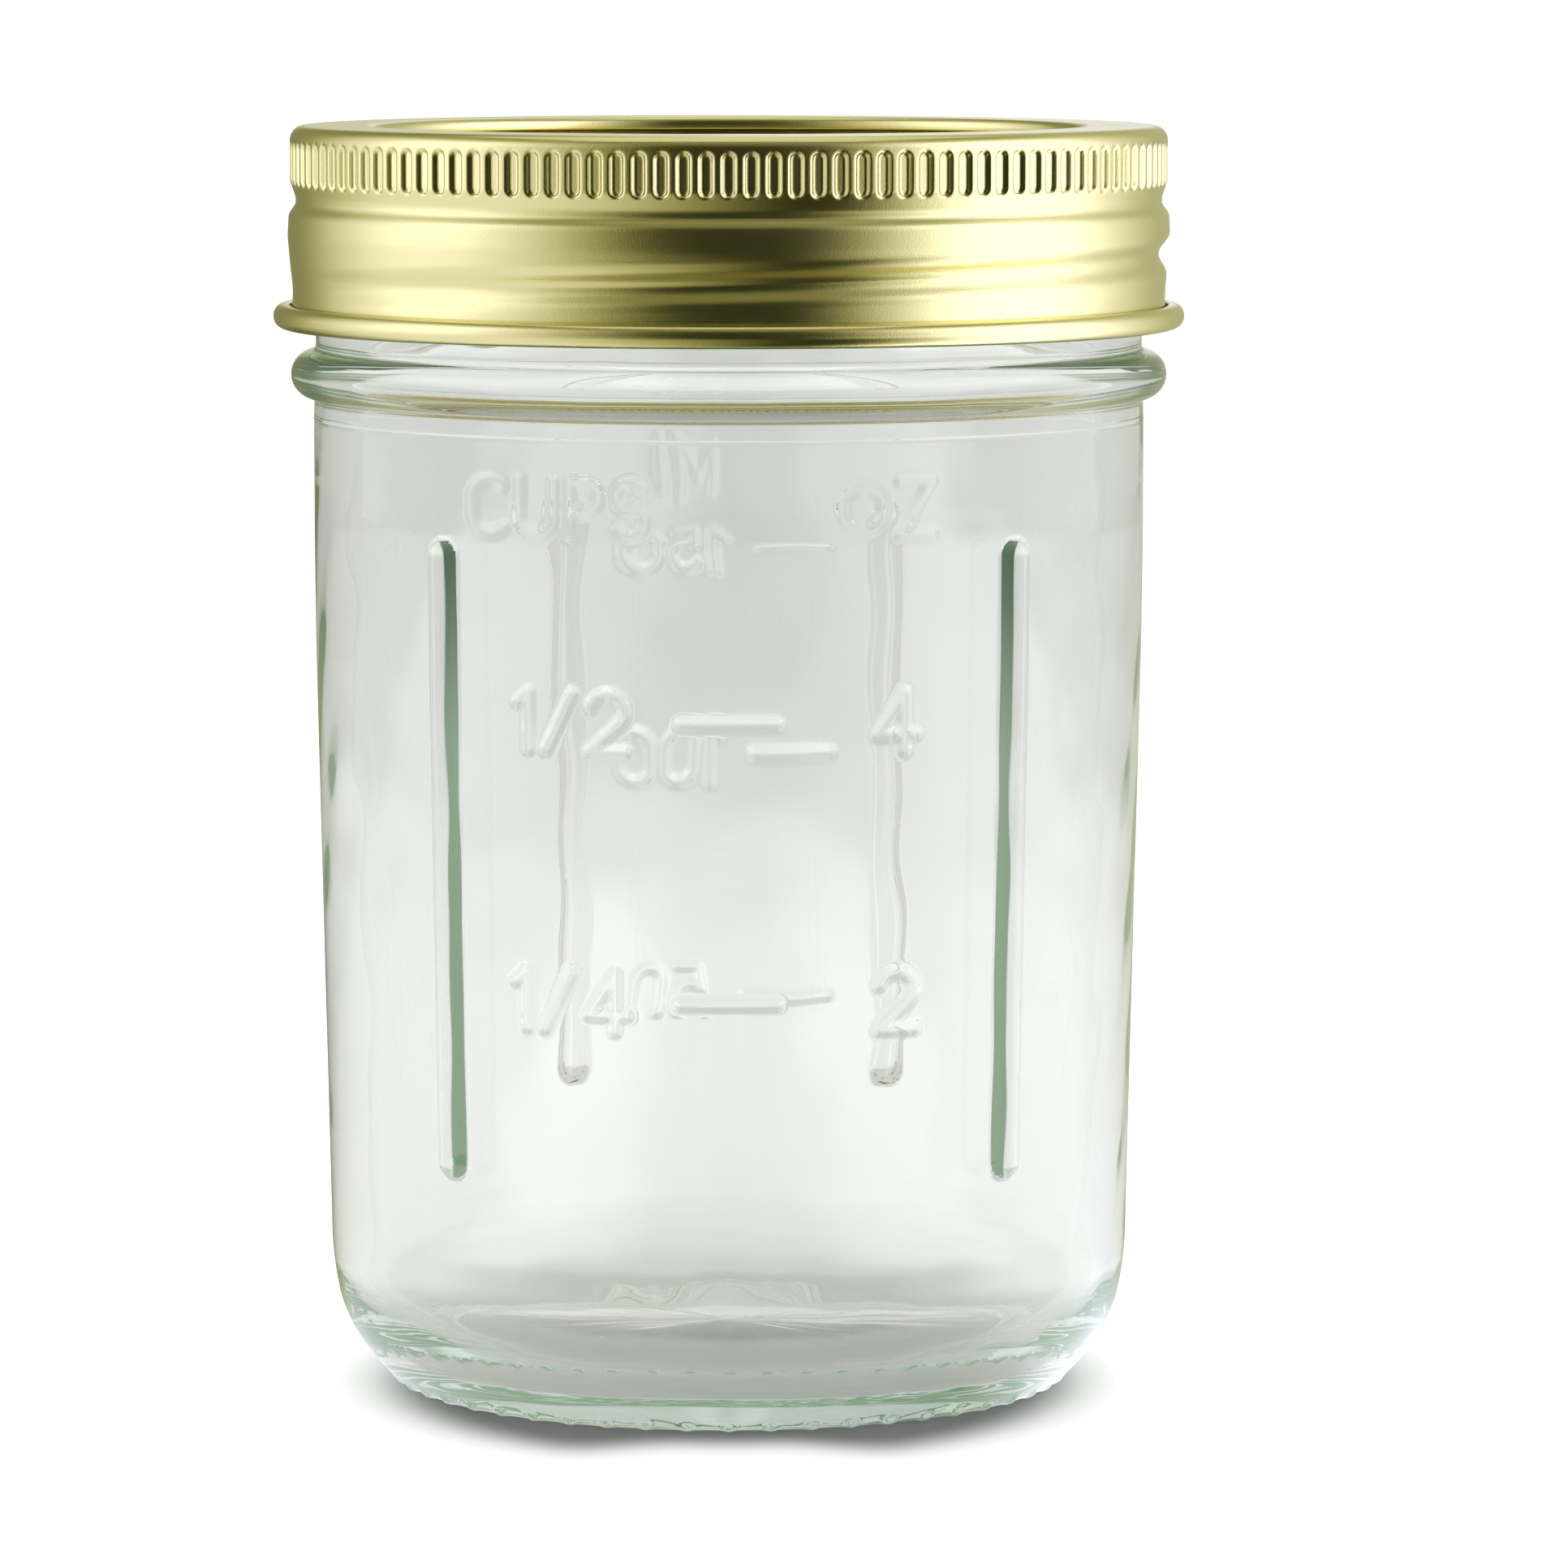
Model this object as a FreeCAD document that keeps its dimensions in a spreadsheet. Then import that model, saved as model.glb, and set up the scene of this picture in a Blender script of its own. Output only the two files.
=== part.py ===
import FreeCAD, Part
import Sketcher
import math
import os
import re

# A half-pint mason jar with a two-piece closure: glass jar, flat metal lid, its sealing ring and the screw band.
# Millimetres. The jar stands on z = 0 with its axis on +Z, and its graduated face looks along -Y.

DIMENSIONS = {
    # thread shared by the neck and the band: the glass ridge runs half a pitch above the band's inward roll
    "thread_pitch": 5.08,
    # glass: neck, rim and thread ridge
    "rim_height": 100.35,
    "rim_round": 1.3,
    "mouth_radius": 29.9,
    "neck_radius": 33.3,
    "thread_nose": 1.25,
    "thread_centre": 33.45,
    "thread_root": 33.2,
    "thread_foot_turn": -56.0,
    "thread_rise": 6.1,
    # glass: handling bead under the neck
    "bead_height": 81.67,
    "bead_section": 1.95,
    "bead_radius": 35.32,
    # glass: body
    "shoulder_radius": 33.48,
    "taper_height": 60.0,
    "straight_height": 69.0,
    "taper_radius": 33.4,
    "foot_height": 13.0,
    "foot_radius": 32.36,
    "wall": 3.06,
    "inside_step_height": 78.4,
    "inside_step": 1.4,
    # glass: heel, bearing ring, push-up and floor
    "heel_height": 6.6,
    "heel_radius": 31.62,
    "heel_bend_high": 27.0,
    "heel_bend_low": 14.4,
    "toe_height": 0.68,
    "toe_radius": 27.8,
    "toe_bend": 2.0,
    "bearing_outer": 26.3,
    "bearing_inner": 24.6,
    "bearing_bend": 0.9,
    "underside_radius": 23.9,
    "push_up": 1.8,
    "push_up_bend": 190.0,
    "floor_centre": 4.6,
    "floor_bend": 192.0,
    "floor_radius": 21.5,
    "inside_heel_bend": 7.0,
    "inside_heel_height": 10.4,
    # glass: grip ribs, two at the front and two at the back
    "rib_nose": 1.25,
    "rib_foot_radius": 32.2,
    "rib_head_radius": 33.15,
    "rib_foot_height": 20.95,
    "rib_head_height": 68.75,
    "rib_turn_front": 41.4,
    "rib_turn_back": 154.0,
    # glass: graduation marks
    "mark_stand": 0.3,
    "mark_sink": 0.5,
    "mark_stroke": 0.72,
    "mark_text": 4.5,
    "mark_bar": 7.4,
    "title_text": 4.15,
    "title_height": 72.9,
    "cups_title_middle": -13.2,
    "cups_middle": -12.2,
    "ounces_title_middle": 12.2,
    "ounces_middle": 13.0,
    "cup_half_height": 56.4,
    "cup_quarter_height": 34.6,
    "millilitres_middle": 5.3,
    "millilitre_bar_middle": -5.7,
    "millilitre_high_height": 65.4,
    "millilitre_middle_height": 47.5,
    "millilitre_low_height": 26.7,
    # glass: stippling beside the bearing ring
    "stipple_count": 52,
    "stipple_nose": 0.46,
    "stipple_radius": 27.3,
    "stipple_height": 0.52,
    # lid
    "lid_sheet": 0.22,
    "lid_radius": 34.1,
    "lid_top": 101.25,
    "lid_curl": 0.6,
    "lid_skirt": 0.95,
    "lid_channel": 29.55,
    "lid_slope": 0.5,
    "lid_drop": 1.35,
    "lid_button": 20.0,
    "lid_button_edge": 1.6,
    "lid_button_rise": 0.5,
    # sealing ring
    "seal_inner": 30.1,
    "seal_outer": 33.4,
    "seal_gap": 0.1,
    "seal_round": 0.2,
    # band
    "band_top": 101.6,
    "band_sheet": 0.25,
    "band_opening": 28.5,
    "band_hem": 1.0,
    "band_hem_bend": 0.55,
    "band_corner": 1.15,
    "knurl_outside": 35.25,
    "knurl_inside": 34.7,
    "knurl_foot": 96.8,
    "neck_groove": 34.8,
    "neck_groove_height": 95.85,
    "crest_height": 94.6,
    "crest_radius": 35.35,
    "skirt_height": 90.4,
    "skirt_radius": 35.15,
    "curl_height": 86.27,
    "curl_straight": 0.15,
    "curl_section": 0.9,
    "curl_mouth": 0.38,
    # band: knurling
    "knurl_count": 128,
    "knurl_nose": 0.45,
    "knurl_centre": 35.35,
    "knurl_low": 97.35,
    "knurl_high": 99.9,
    # band: rolled thread
    "end_ease": 0.04,
    "roll_centre": 35.65,
    "roll_nose": 1.4,
    "roll_root": 35.2,
    "roll_foot_turn": 180.0,
    "roll_foot_height": 88.9,
    "roll_rise": 5.2,
}

GLASS_THREAD_FOOT = (
    "roll_foot_height + thread_pitch * (0.5 + (thread_foot_turn - roll_foot_turn) / 360)"
)

# Strokes of the graduation characters, in units of the character height: a line is a list of (across, up)
# points, and an arc is (centre across, centre up, radius, first angle, last angle).
CHARACTERS = {
    "0": (0.62, [[(0, 0.31), (0, 0.69)], [(0.62, 0.31), (0.62, 0.69)]],
          [(0.31, 0.69, 0.31, 0, 180), (0.31, 0.31, 0.31, 180, 360)]),
    "1": (0.2, [[(0, 0.8), (0.2, 1), (0.2, 0)]], []),
    "2": (0.6, [[(0.52, 0.5), (0, 0), (0.6, 0)]], [(0.3, 0.7, 0.3, -42, 165)]),
    "4": (0.66, [[(0.66, 0.28), (0, 0.28), (0.46, 1), (0.46, 0)]], []),
    "5": (0.58, [[(0.54, 1), (0.08, 1), (0.04, 0.55)]], [(0.27, 0.32, 0.32, -150, 130)]),
    "/": (0.46, [[(0, 0), (0.46, 1)]], []),
    "C": (0.6, [[(0, 0.34), (0, 0.66)]], [(0.34, 0.66, 0.34, 40, 180), (0.34, 0.34, 0.34, 180, 320)]),
    "U": (0.64, [[(0, 1), (0, 0.32)], [(0.64, 1), (0.64, 0.32)]], [(0.32, 0.32, 0.32, 180, 360)]),
    "P": (0.56, [[(0.29, 0.46), (0, 0.46)], [(0.29, 1), (0, 1), (0, 0)]], [(0.29, 0.73, 0.27, -90, 90)]),
    "S": (0.54, [], [(0.27, 0.73, 0.27, 30, 270), (0.27, 0.27, 0.27, -150, 90)]),
    "O": (0.8, [], [(0.4, 0.5, 0.4, 0, 360)]),
    "Z": (0.6, [[(0, 1), (0.6, 1), (0, 0), (0.6, 0)]], []),
    "M": (0.78, [[(0, 0), (0, 1), (0.39, 0.35), (0.78, 1), (0.78, 0)]], []),
    "L": (0.5, [[(0, 1), (0, 0), (0.5, 0)]], []),
}
CHARACTER_GAP = 0.3


def make_sheet(doc):
    sheet = doc.addObject("Spreadsheet::Sheet", "dims")
    for row, (alias, value) in enumerate(DIMENSIONS.items(), start=1):
        sheet.set(f"A{row}", alias)
        sheet.set(f"B{row}", str(value))
        sheet.setAlias(f"B{row}", alias)
    doc.recompute()


def bound(text):
    """The expression that reads each dimension named in text from the sheet."""
    return re.sub(r"[a-z]+(_[a-z]+)+|wall", lambda found: "dims." + found.group(0), str(text))


def amount(text):
    """The number that text comes to, for the first shape of a sketch."""
    found = FreeCAD.ActiveDocument.getObject("dims").evalExpression(bound(text))
    return float(getattr(found, "Value", found))


def origin_feature(body, role):
    return next(f for f in body.Origin.OriginFeatures if f.Role == role)


def new_sketch(body, name, turn):
    """A sketch on the body's XZ plane, turned about +Z: across is the radius, up is the height."""
    sketch = body.newObject("Sketcher::SketchObject", name)
    sketch.AttachmentSupport = [(origin_feature(body, "XZ_Plane"), "")]
    sketch.MapMode = "FlatFace"
    sketch.AttachmentOffset = FreeCAD.Placement(
        FreeCAD.Vector(), FreeCAD.Rotation(FreeCAD.Vector(0, 1, 0), amount(turn))
    )
    sketch.setExpression("AttachmentOffset.Rotation.Angle", bound(turn))
    return sketch


def pin_point(sketch, segment, end, across, up):
    """Binds one end of a segment to its two coordinates."""
    for kind, text, axis in (("DistanceX", across, -2), ("DistanceY", up, -1)):
        value = amount(text)
        if abs(value) < 1e-9:
            sketch.addConstraint(Sketcher.Constraint("PointOnObject", segment, end, axis))
            continue
        index = sketch.addConstraint(Sketcher.Constraint(kind, segment, end, value))
        sketch.setExpression(f"Constraints[{index}]", bound(text))


def bind_radius(sketch, segment, radius):
    index = sketch.addConstraint(Sketcher.Constraint("Radius", segment, amount(radius)))
    sketch.setExpression(f"Constraints[{index}]", bound(radius))


def short_arc(start, end, radius, side):
    """The short arc from start to end: side 1 runs counter-clockwise, side -1 clockwise."""
    chord = end - start
    left = FreeCAD.Vector(-chord.y, chord.x, 0).normalize()
    reach = math.sqrt(max(radius**2 - (chord.Length / 2) ** 2, 0.0))
    centre = (start + end) * 0.5 + left * (side * reach)
    first, last = (start, end) if side > 0 else (end, start)
    angles = [math.atan2(p.y - centre.y, p.x - centre.x) for p in (first, last)]
    if angles[1] < angles[0]:
        angles[1] += 2 * math.pi
    return Part.ArcOfCircle(Part.Circle(centre, FreeCAD.Vector(0, 0, 1), radius), *angles)


def closed_outline(sketch, points):
    """Draws a closed outline. A point is (across, up), or (across, up, radius, side) where an arc leaves it."""
    places = [FreeCAD.Vector(amount(p[0]), amount(p[1]), 0) for p in points]
    starts, ends = [], []
    for i, point in enumerate(points):
        here, there = places[i], places[(i + 1) % len(points)]
        forward = True
        if len(point) == 4:
            segment = sketch.addGeometry(short_arc(here, there, amount(point[2]), point[3]))
            bind_radius(sketch, segment, point[2])
            forward = point[3] > 0
        else:
            segment = sketch.addGeometry(Part.LineSegment(here, there))
        starts.append((segment, 1 if forward else 2))
        ends.append((segment, 2 if forward else 1))
    for i, point in enumerate(points):
        sketch.addConstraint(Sketcher.Constraint("Coincident", *ends[i - 1], *starts[i]))
        pin_point(sketch, *starts[i], point[0], point[1])


def turned(body, kind, name, points, turn="0", axis="V_Axis"):
    """A full turn of a closed outline, about the body's axis or about an edge of the outline."""
    sketch = new_sketch(body, name + "_outline", turn)
    closed_outline(sketch, points)
    feature = body.newObject(kind, name)
    feature.Profile = sketch
    feature.ReferenceAxis = (sketch, [axis])
    feature.Angle = 360
    FreeCAD.ActiveDocument.recompute()
    return feature


def bar(body, kind, name, foot, head, nose, turn="0"):
    """A round bar with domed ends between two centres, each (across, up), in the plane turned about +Z."""
    sketch = new_sketch(body, name + "_outline", turn)
    low = FreeCAD.Vector(amount(foot[0]), amount(foot[1]), 0)
    high = FreeCAD.Vector(amount(head[0]), amount(head[1]), 0)
    radius = amount(nose)
    along = (high - low).normalize()
    beside = FreeCAD.Vector(along.y, -along.x, 0)
    heading = math.atan2(along.y, along.x)
    quarter = math.pi / 2
    normal = FreeCAD.Vector(0, 0, 1)
    start_cap = Part.ArcOfCircle(Part.Circle(low, normal, radius), heading - 2 * quarter, heading - quarter)
    end_cap = Part.ArcOfCircle(Part.Circle(high, normal, radius), heading - quarter, heading)
    cap = sketch.addGeometry(start_cap)
    flank = sketch.addGeometry(Part.LineSegment(low + beside * radius, high + beside * radius))
    tip = sketch.addGeometry(end_cap)
    core = sketch.addGeometry(Part.LineSegment(high + along * radius, low - along * radius))
    sketch.addConstraint(Sketcher.Constraint("Tangent", cap, 2, flank, 1))
    sketch.addConstraint(Sketcher.Constraint("Tangent", flank, 2, tip, 1))
    sketch.addConstraint(Sketcher.Constraint("Coincident", tip, 2, core, 1))
    sketch.addConstraint(Sketcher.Constraint("Coincident", core, 2, cap, 1))
    sketch.addConstraint(Sketcher.Constraint("PointOnObject", cap, 3, core))
    sketch.addConstraint(Sketcher.Constraint("PointOnObject", tip, 3, core))
    bind_radius(sketch, cap, nose)
    pin_point(sketch, cap, 3, *foot)
    pin_point(sketch, tip, 3, *head)
    feature = body.newObject(kind, name)
    feature.Profile = sketch
    feature.ReferenceAxis = (sketch, [f"Edge{core + 1}"])
    feature.Angle = 360
    FreeCAD.ActiveDocument.recompute()
    return feature


def ball(body, kind, name, across, up, turn, radius, flat=None):
    """A ball centred at a radius and height on the plane turned about +Z, or its inward cap past a flat radius."""
    feature = body.newObject(kind, name)
    feature.AttachmentSupport = [(origin_feature(body, "XY_Plane"), "")]
    feature.MapMode = "FlatFace"
    if flat:
        angle = math.radians(amount(turn))
        inward = FreeCAD.Vector(-math.cos(angle), -math.sin(angle), 0)
        feature.AttachmentOffset = FreeCAD.Placement(
            FreeCAD.Vector(), FreeCAD.Rotation(FreeCAD.Vector(0, 0, 1), inward)
        )
        feature.setExpression("Angle1", f"asin(({bound(across)} - {bound(flat)}) / ({bound(radius)}))")
    feature.setExpression("AttachmentOffset.Base.x", f"({bound(across)}) * cos(({bound(turn)}) * 1deg)")
    feature.setExpression("AttachmentOffset.Base.y", f"({bound(across)}) * sin(({bound(turn)}) * 1deg)")
    feature.setExpression("AttachmentOffset.Base.z", bound(up))
    feature.setExpression("Radius", bound(radius))
    FreeCAD.ActiveDocument.recompute()
    return feature


def around(body, name, original, count):
    """Repeats a feature evenly about the body's axis."""
    pattern = body.newObject("PartDesign::PolarPattern", name)
    pattern.Originals = [original]
    pattern.Axis = (origin_feature(body, "Z_Axis"), [""])
    pattern.Angle = 360
    body.Tip = pattern
    pattern.setExpression("Occurrences", bound(count))
    FreeCAD.ActiveDocument.recompute()
    return pattern


def thread(body, kind, name, outline, turn):
    """Carries a closed outline up the right-handed thread, and returns the helix."""
    sketch = new_sketch(body, name + "_section", turn)
    closed_outline(sketch, outline)
    feature = body.newObject(kind, name)
    feature.Profile = sketch
    feature.ReferenceAxis = (sketch, ["V_Axis"])
    feature.Mode = 0
    feature.LeftHanded = False
    feature.Reversed = False
    feature.setExpression("Pitch", bound("thread_pitch"))
    return feature


def glass_shell(doc):
    """The blown shell: outside from the push-up to the rim, then down the inside to the floor."""
    body = doc.addObject("PartDesign::Body", "glass_shell")
    underside_height = "push_up - push_up_bend + sqrt(push_up_bend ^ 2 - underside_radius ^ 2)"
    floor_height = "floor_centre - floor_bend + sqrt(floor_bend ^ 2 - floor_radius ^ 2)"
    turned(body, "PartDesign::Revolution", "shell", [
        ("0", "push_up", "push_up_bend", -1),
        ("underside_radius", underside_height, "bearing_bend", 1),
        ("bearing_inner", "0"),
        ("bearing_outer", "0", "toe_bend", 1),
        ("toe_radius", "toe_height", "heel_bend_low", 1),
        ("heel_radius", "heel_height", "heel_bend_high", 1),
        ("foot_radius", "foot_height"),
        ("taper_radius", "taper_height"),
        ("shoulder_radius", "straight_height"),
        ("shoulder_radius", "bead_height - bead_section"),
        ("bead_radius - bead_section", "bead_height - bead_section", "bead_section", 1),
        ("bead_radius", "bead_height", "bead_section", 1),
        ("bead_radius - bead_section", "bead_height + bead_section"),
        ("neck_radius", "bead_height + bead_section + 0.1"),
        ("neck_radius", "rim_height - rim_round", "rim_round", 1),
        ("neck_radius - rim_round", "rim_height"),
        ("mouth_radius + rim_round", "rim_height", "rim_round", 1),
        ("mouth_radius", "rim_height - rim_round"),
        ("mouth_radius", "inside_step_height"),
        ("shoulder_radius - wall", "inside_step_height - inside_step"),
        ("taper_radius - wall", "taper_height"),
        ("foot_radius - wall", "inside_heel_height", "inside_heel_bend", -1),
        ("floor_radius", floor_height, "floor_bend", 1),
        ("0", "floor_centre"),
    ])
    return body


def add_neck_thread(body):
    """A half-round ridge up the neck, with rounded ends."""
    foot, turn = GLASS_THREAD_FOOT, "thread_foot_turn"
    half = "sqrt(thread_nose ^ 2 - (thread_centre - thread_root) ^ 2)"
    section = [
        ("thread_root", f"{foot} - {half}", "thread_nose", 1),
        ("thread_centre + thread_nose", foot, "thread_nose", 1),
        ("thread_root", f"{foot} + {half}"),
    ]
    ridge = thread(body, "PartDesign::AdditiveHelix", "neck_thread", section, turn)
    ridge.setExpression("Height", bound("thread_rise"))
    FreeCAD.ActiveDocument.recompute()
    for name, up, at in (("thread_start", foot, turn), ("thread_finish", f"{foot} + thread_rise",
                          f"{turn} + 360 * thread_rise / thread_pitch")):
        ball(body, "PartDesign::AdditiveSphere", name, "thread_centre - 4 * end_ease", up, at, "thread_nose")


def make_rib(doc, name, turn):
    """A half-round grip rib, leaning with the wall it is sunk in: a round shaft with domed ends."""
    ends = {"foot": ("rib_foot_radius", "rib_foot_height"), "head": ("rib_head_radius", "rib_head_height")}
    pieces = []
    for end, (across, up) in ends.items():
        dome = doc.addObject("Part::Sphere", f"{name}_{end}")
        place_at(dome, across, up, turn)
        pieces.append(dome)
    shaft = doc.addObject("Part::Cylinder", name + "_shaft")
    lean = FreeCAD.Vector(amount("rib_head_radius - rib_foot_radius"), 0,
                          amount("rib_head_height - rib_foot_height"))
    upright = FreeCAD.Rotation(FreeCAD.Vector(0, 0, 1), lean)
    shaft.Placement = FreeCAD.Placement(
        FreeCAD.Vector(), FreeCAD.Rotation(FreeCAD.Vector(0, 0, 1), amount(turn)).multiply(upright)
    )
    place_at(shaft, *ends["foot"], turn)
    shaft.setExpression("Height", bound(
        "sqrt((rib_head_radius - rib_foot_radius) ^ 2 + (rib_head_height - rib_foot_height) ^ 2)"))
    pieces.append(shaft)
    for piece in pieces:
        piece.setExpression("Radius", bound("rib_nose"))
    rib = doc.addObject("Part::MultiFuse", name)
    rib.Shapes = pieces
    return rib


def place_at(thing, across, up, turn):
    """Binds an object's position to a radius and height on the plane turned about +Z."""
    thing.setExpression("Placement.Base.x", f"({bound(across)}) * cos(({bound(turn)}) * 1deg)")
    thing.setExpression("Placement.Base.y", f"({bound(across)}) * sin(({bound(turn)}) * 1deg)")
    thing.setExpression("Placement.Base.z", bound(up))


def make_ribs(doc):
    turns = {
        "rib_front_left": "-90 - rib_turn_front",
        "rib_front_right": "-90 + rib_turn_front",
        "rib_back_left": "-90 - rib_turn_back",
        "rib_back_right": "-90 + rib_turn_back",
    }
    return [make_rib(doc, name, turn) for name, turn in turns.items()]


def add_stipple(body):
    dot = ball(body, "PartDesign::AdditiveSphere", "stipple_dot", "stipple_radius", "stipple_height",
               "0", "stipple_nose")
    around(body, "stipple", dot, "stipple_count")


def mark_skin(doc):
    """The layer the graduation marks fill, from just inside the glass to their standing height."""
    body = doc.addObject("PartDesign::Body", "mark_skin")
    turned(body, "PartDesign::Revolution", "layer", [
        ("foot_radius - mark_sink", "foot_height"),
        ("foot_radius + mark_stand", "foot_height"),
        ("taper_radius + mark_stand", "taper_height"),
        ("shoulder_radius + mark_stand", "straight_height"),
        ("shoulder_radius + mark_stand", "bead_height - bead_section - 1"),
        ("shoulder_radius - mark_sink", "bead_height - bead_section - 1"),
        ("shoulder_radius - mark_sink", "straight_height"),
        ("taper_radius - mark_sink", "taper_height"),
    ])
    return body


def text_width(text, size):
    widths = [CHARACTERS[c][0] for c in text]
    return (sum(widths) + CHARACTER_GAP * (len(text) - 1)) * size


def stroke_solids(lines, arcs, stroke, reach):
    """Round-ended strokes as straight-sided solids running along -Y from the axis plane out to reach."""
    out = FreeCAD.Vector(0, -1, 0)
    solids = []
    for line in lines:
        for x, z in line:
            solids.append(Part.makeCylinder(stroke / 2, reach, FreeCAD.Vector(x, 0, z), out))
        for (x0, z0), (x1, z1) in zip(line, line[1:]):
            length = math.hypot(x1 - x0, z1 - z0)
            slab = Part.makeBox(length, reach, stroke, FreeCAD.Vector(0, -reach, -stroke / 2))
            slab.rotate(FreeCAD.Vector(), out, math.degrees(math.atan2(z1 - z0, x1 - x0)))
            slab.translate(FreeCAD.Vector(x0, 0, z0))
            solids.append(slab)
    for x, z, radius, first, last in arcs:
        centre = FreeCAD.Vector(x, 0, z)
        ring = Part.makeCylinder(radius + stroke / 2, reach, centre, out, last - first)
        ring = ring.cut(Part.makeCylinder(radius - stroke / 2, reach, centre, out))
        ring.rotate(centre, out, first - base_turn(out))
        solids.append(ring)
        for angle in (first, last):
            end = centre + FreeCAD.Vector(radius * math.cos(math.radians(angle)), 0,
                                          radius * math.sin(math.radians(angle)))
            solids.append(Part.makeCylinder(stroke / 2, reach, end, out))
    return solids


def base_turn(out):
    """The angle from +X towards +Z at which a part cylinder along out begins its sweep."""
    edge = Part.makeCylinder(1, 1, FreeCAD.Vector(), out, 90).Vertexes
    corners = [v.Point for v in edge if abs(v.Point.y) < 1e-6 and v.Point.Length > 0.5]
    angles = [math.degrees(math.atan2(p.z, p.x)) % 360 for p in corners]
    low, high = sorted(angles)
    return low if high - low < 180 else high


def written(text, centre, middle, size, stroke, reach):
    """The strokes of a line of text centred at (centre, middle) on the plane y = 0."""
    solids = []
    cursor = centre - text_width(text, size) / 2
    for character in text:
        width, lines, arcs = CHARACTERS[character]
        foot = middle - size / 2
        placed_lines = [[(cursor + x * size, foot + z * size) for x, z in line] for line in lines]
        placed_arcs = [(cursor + x * size, foot + z * size, r * size, a, b) for x, z, r, a, b in arcs]
        solids += stroke_solids(placed_lines, placed_arcs, stroke, reach)
        cursor += (width + CHARACTER_GAP) * size
    return solids


def scale_strokes():
    """Every stroke of the two graduation scales: cups and ounces at the front, millilitres at the back."""
    size, stroke, reach = amount("mark_text"), amount("mark_stroke"), amount("shoulder_radius + 5")
    title_size = amount("title_text")
    half_bar = amount("mark_bar / 2")
    cups_middle, ounces_middle = amount("cups_middle"), amount("ounces_middle")
    millilitres_middle, bar_middle = amount("millilitres_middle"), amount("millilitre_bar_middle")
    title = amount("title_height")

    def bar(middle, height):
        return stroke_solids([[(middle - half_bar, height), (middle + half_bar, height)]], [], stroke, reach)

    front = written("CUPS", amount("cups_title_middle"), title, title_size, stroke, reach)
    front += written("OZ", amount("ounces_title_middle"), title, title_size, stroke, reach)
    for level, cups, ounces in (("cup_half_height", "1/2", "4"), ("cup_quarter_height", "1/4", "2")):
        front += written(cups, cups_middle, amount(level), size, stroke, reach)
        front += written(ounces, ounces_middle, amount(level), size, stroke, reach)
        front += bar(0, amount(level))
    back = written("ML", millilitres_middle, title, title_size, stroke, reach)
    for level, millilitres in (("high", "150"), ("middle", "100"), ("low", "50")):
        height = amount(f"millilitre_{level}_height")
        back += written(millilitres, millilitres_middle, height, size, stroke, reach)
        back += bar(bar_middle, height)
    for solid in back:
        solid.rotate(FreeCAD.Vector(), FreeCAD.Vector(0, 0, 1), 180)
    return front[0].multiFuse(front[1:] + back)


def make_glass_jar(doc):
    shell = glass_shell(doc)
    add_neck_thread(shell)
    add_stipple(shell)
    skin = mark_skin(doc)
    ribs = make_ribs(doc)
    strokes = doc.addObject("Part::Feature", "scale_strokes")
    strokes.Shape = scale_strokes()
    marks = doc.addObject("Part::MultiCommon", "scale_marks")
    marks.Shapes = [strokes, skin]
    jar = doc.addObject("Part::MultiFuse", "glass_jar")
    jar.Shapes = [shell, marks] + ribs
    return jar


def make_lid_disc(doc):
    """Pressed sheet: domed centre button, flat panel, raised channel over the rim and a short curled skirt."""
    body = doc.addObject("PartDesign::Body", "lid_disc")
    top, under = "lid_top - lid_drop", "lid_top - lid_drop - lid_sheet"
    turned(body, "PartDesign::Revolution", "disc", [
        ("0", top + " + lid_button_rise"),
        ("0", under + " + lid_button_rise"),
        ("lid_button - lid_button_edge", under + " + lid_button_rise"),
        ("lid_button", under),
        ("lid_channel - lid_slope + lid_sheet * 0.7", under),
        ("lid_channel + lid_sheet * 0.7", "lid_top - lid_sheet"),
        ("lid_radius - lid_curl", "lid_top - lid_sheet", "lid_curl - lid_sheet", -1),
        ("lid_radius - lid_sheet", "lid_top - lid_curl"),
        ("lid_radius - lid_sheet", "lid_top - lid_skirt"),
        ("lid_radius", "lid_top - lid_skirt"),
        ("lid_radius", "lid_top - lid_curl", "lid_curl", 1),
        ("lid_radius - lid_curl", "lid_top"),
        ("lid_channel", "lid_top"),
        ("lid_channel - lid_slope", top),
        ("lid_button", top),
        ("lid_button - lid_button_edge", top + " + lid_button_rise"),
    ])
    return body


def make_sealing_ring(doc):
    """The flowed-in compound under the lid's channel, with its lower corners rounded."""
    body = doc.addObject("PartDesign::Body", "sealing_ring")
    turned(body, "PartDesign::Revolution", "ring", [
        ("seal_inner", "lid_top - lid_sheet"),
        ("seal_inner", "rim_height + seal_gap + seal_round", "seal_round", 1),
        ("seal_inner + seal_round", "rim_height + seal_gap"),
        ("seal_outer - seal_round", "rim_height + seal_gap", "seal_round", 1),
        ("seal_outer", "rim_height + seal_gap + seal_round"),
        ("seal_outer", "lid_top - lid_sheet"),
    ])
    return body


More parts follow.
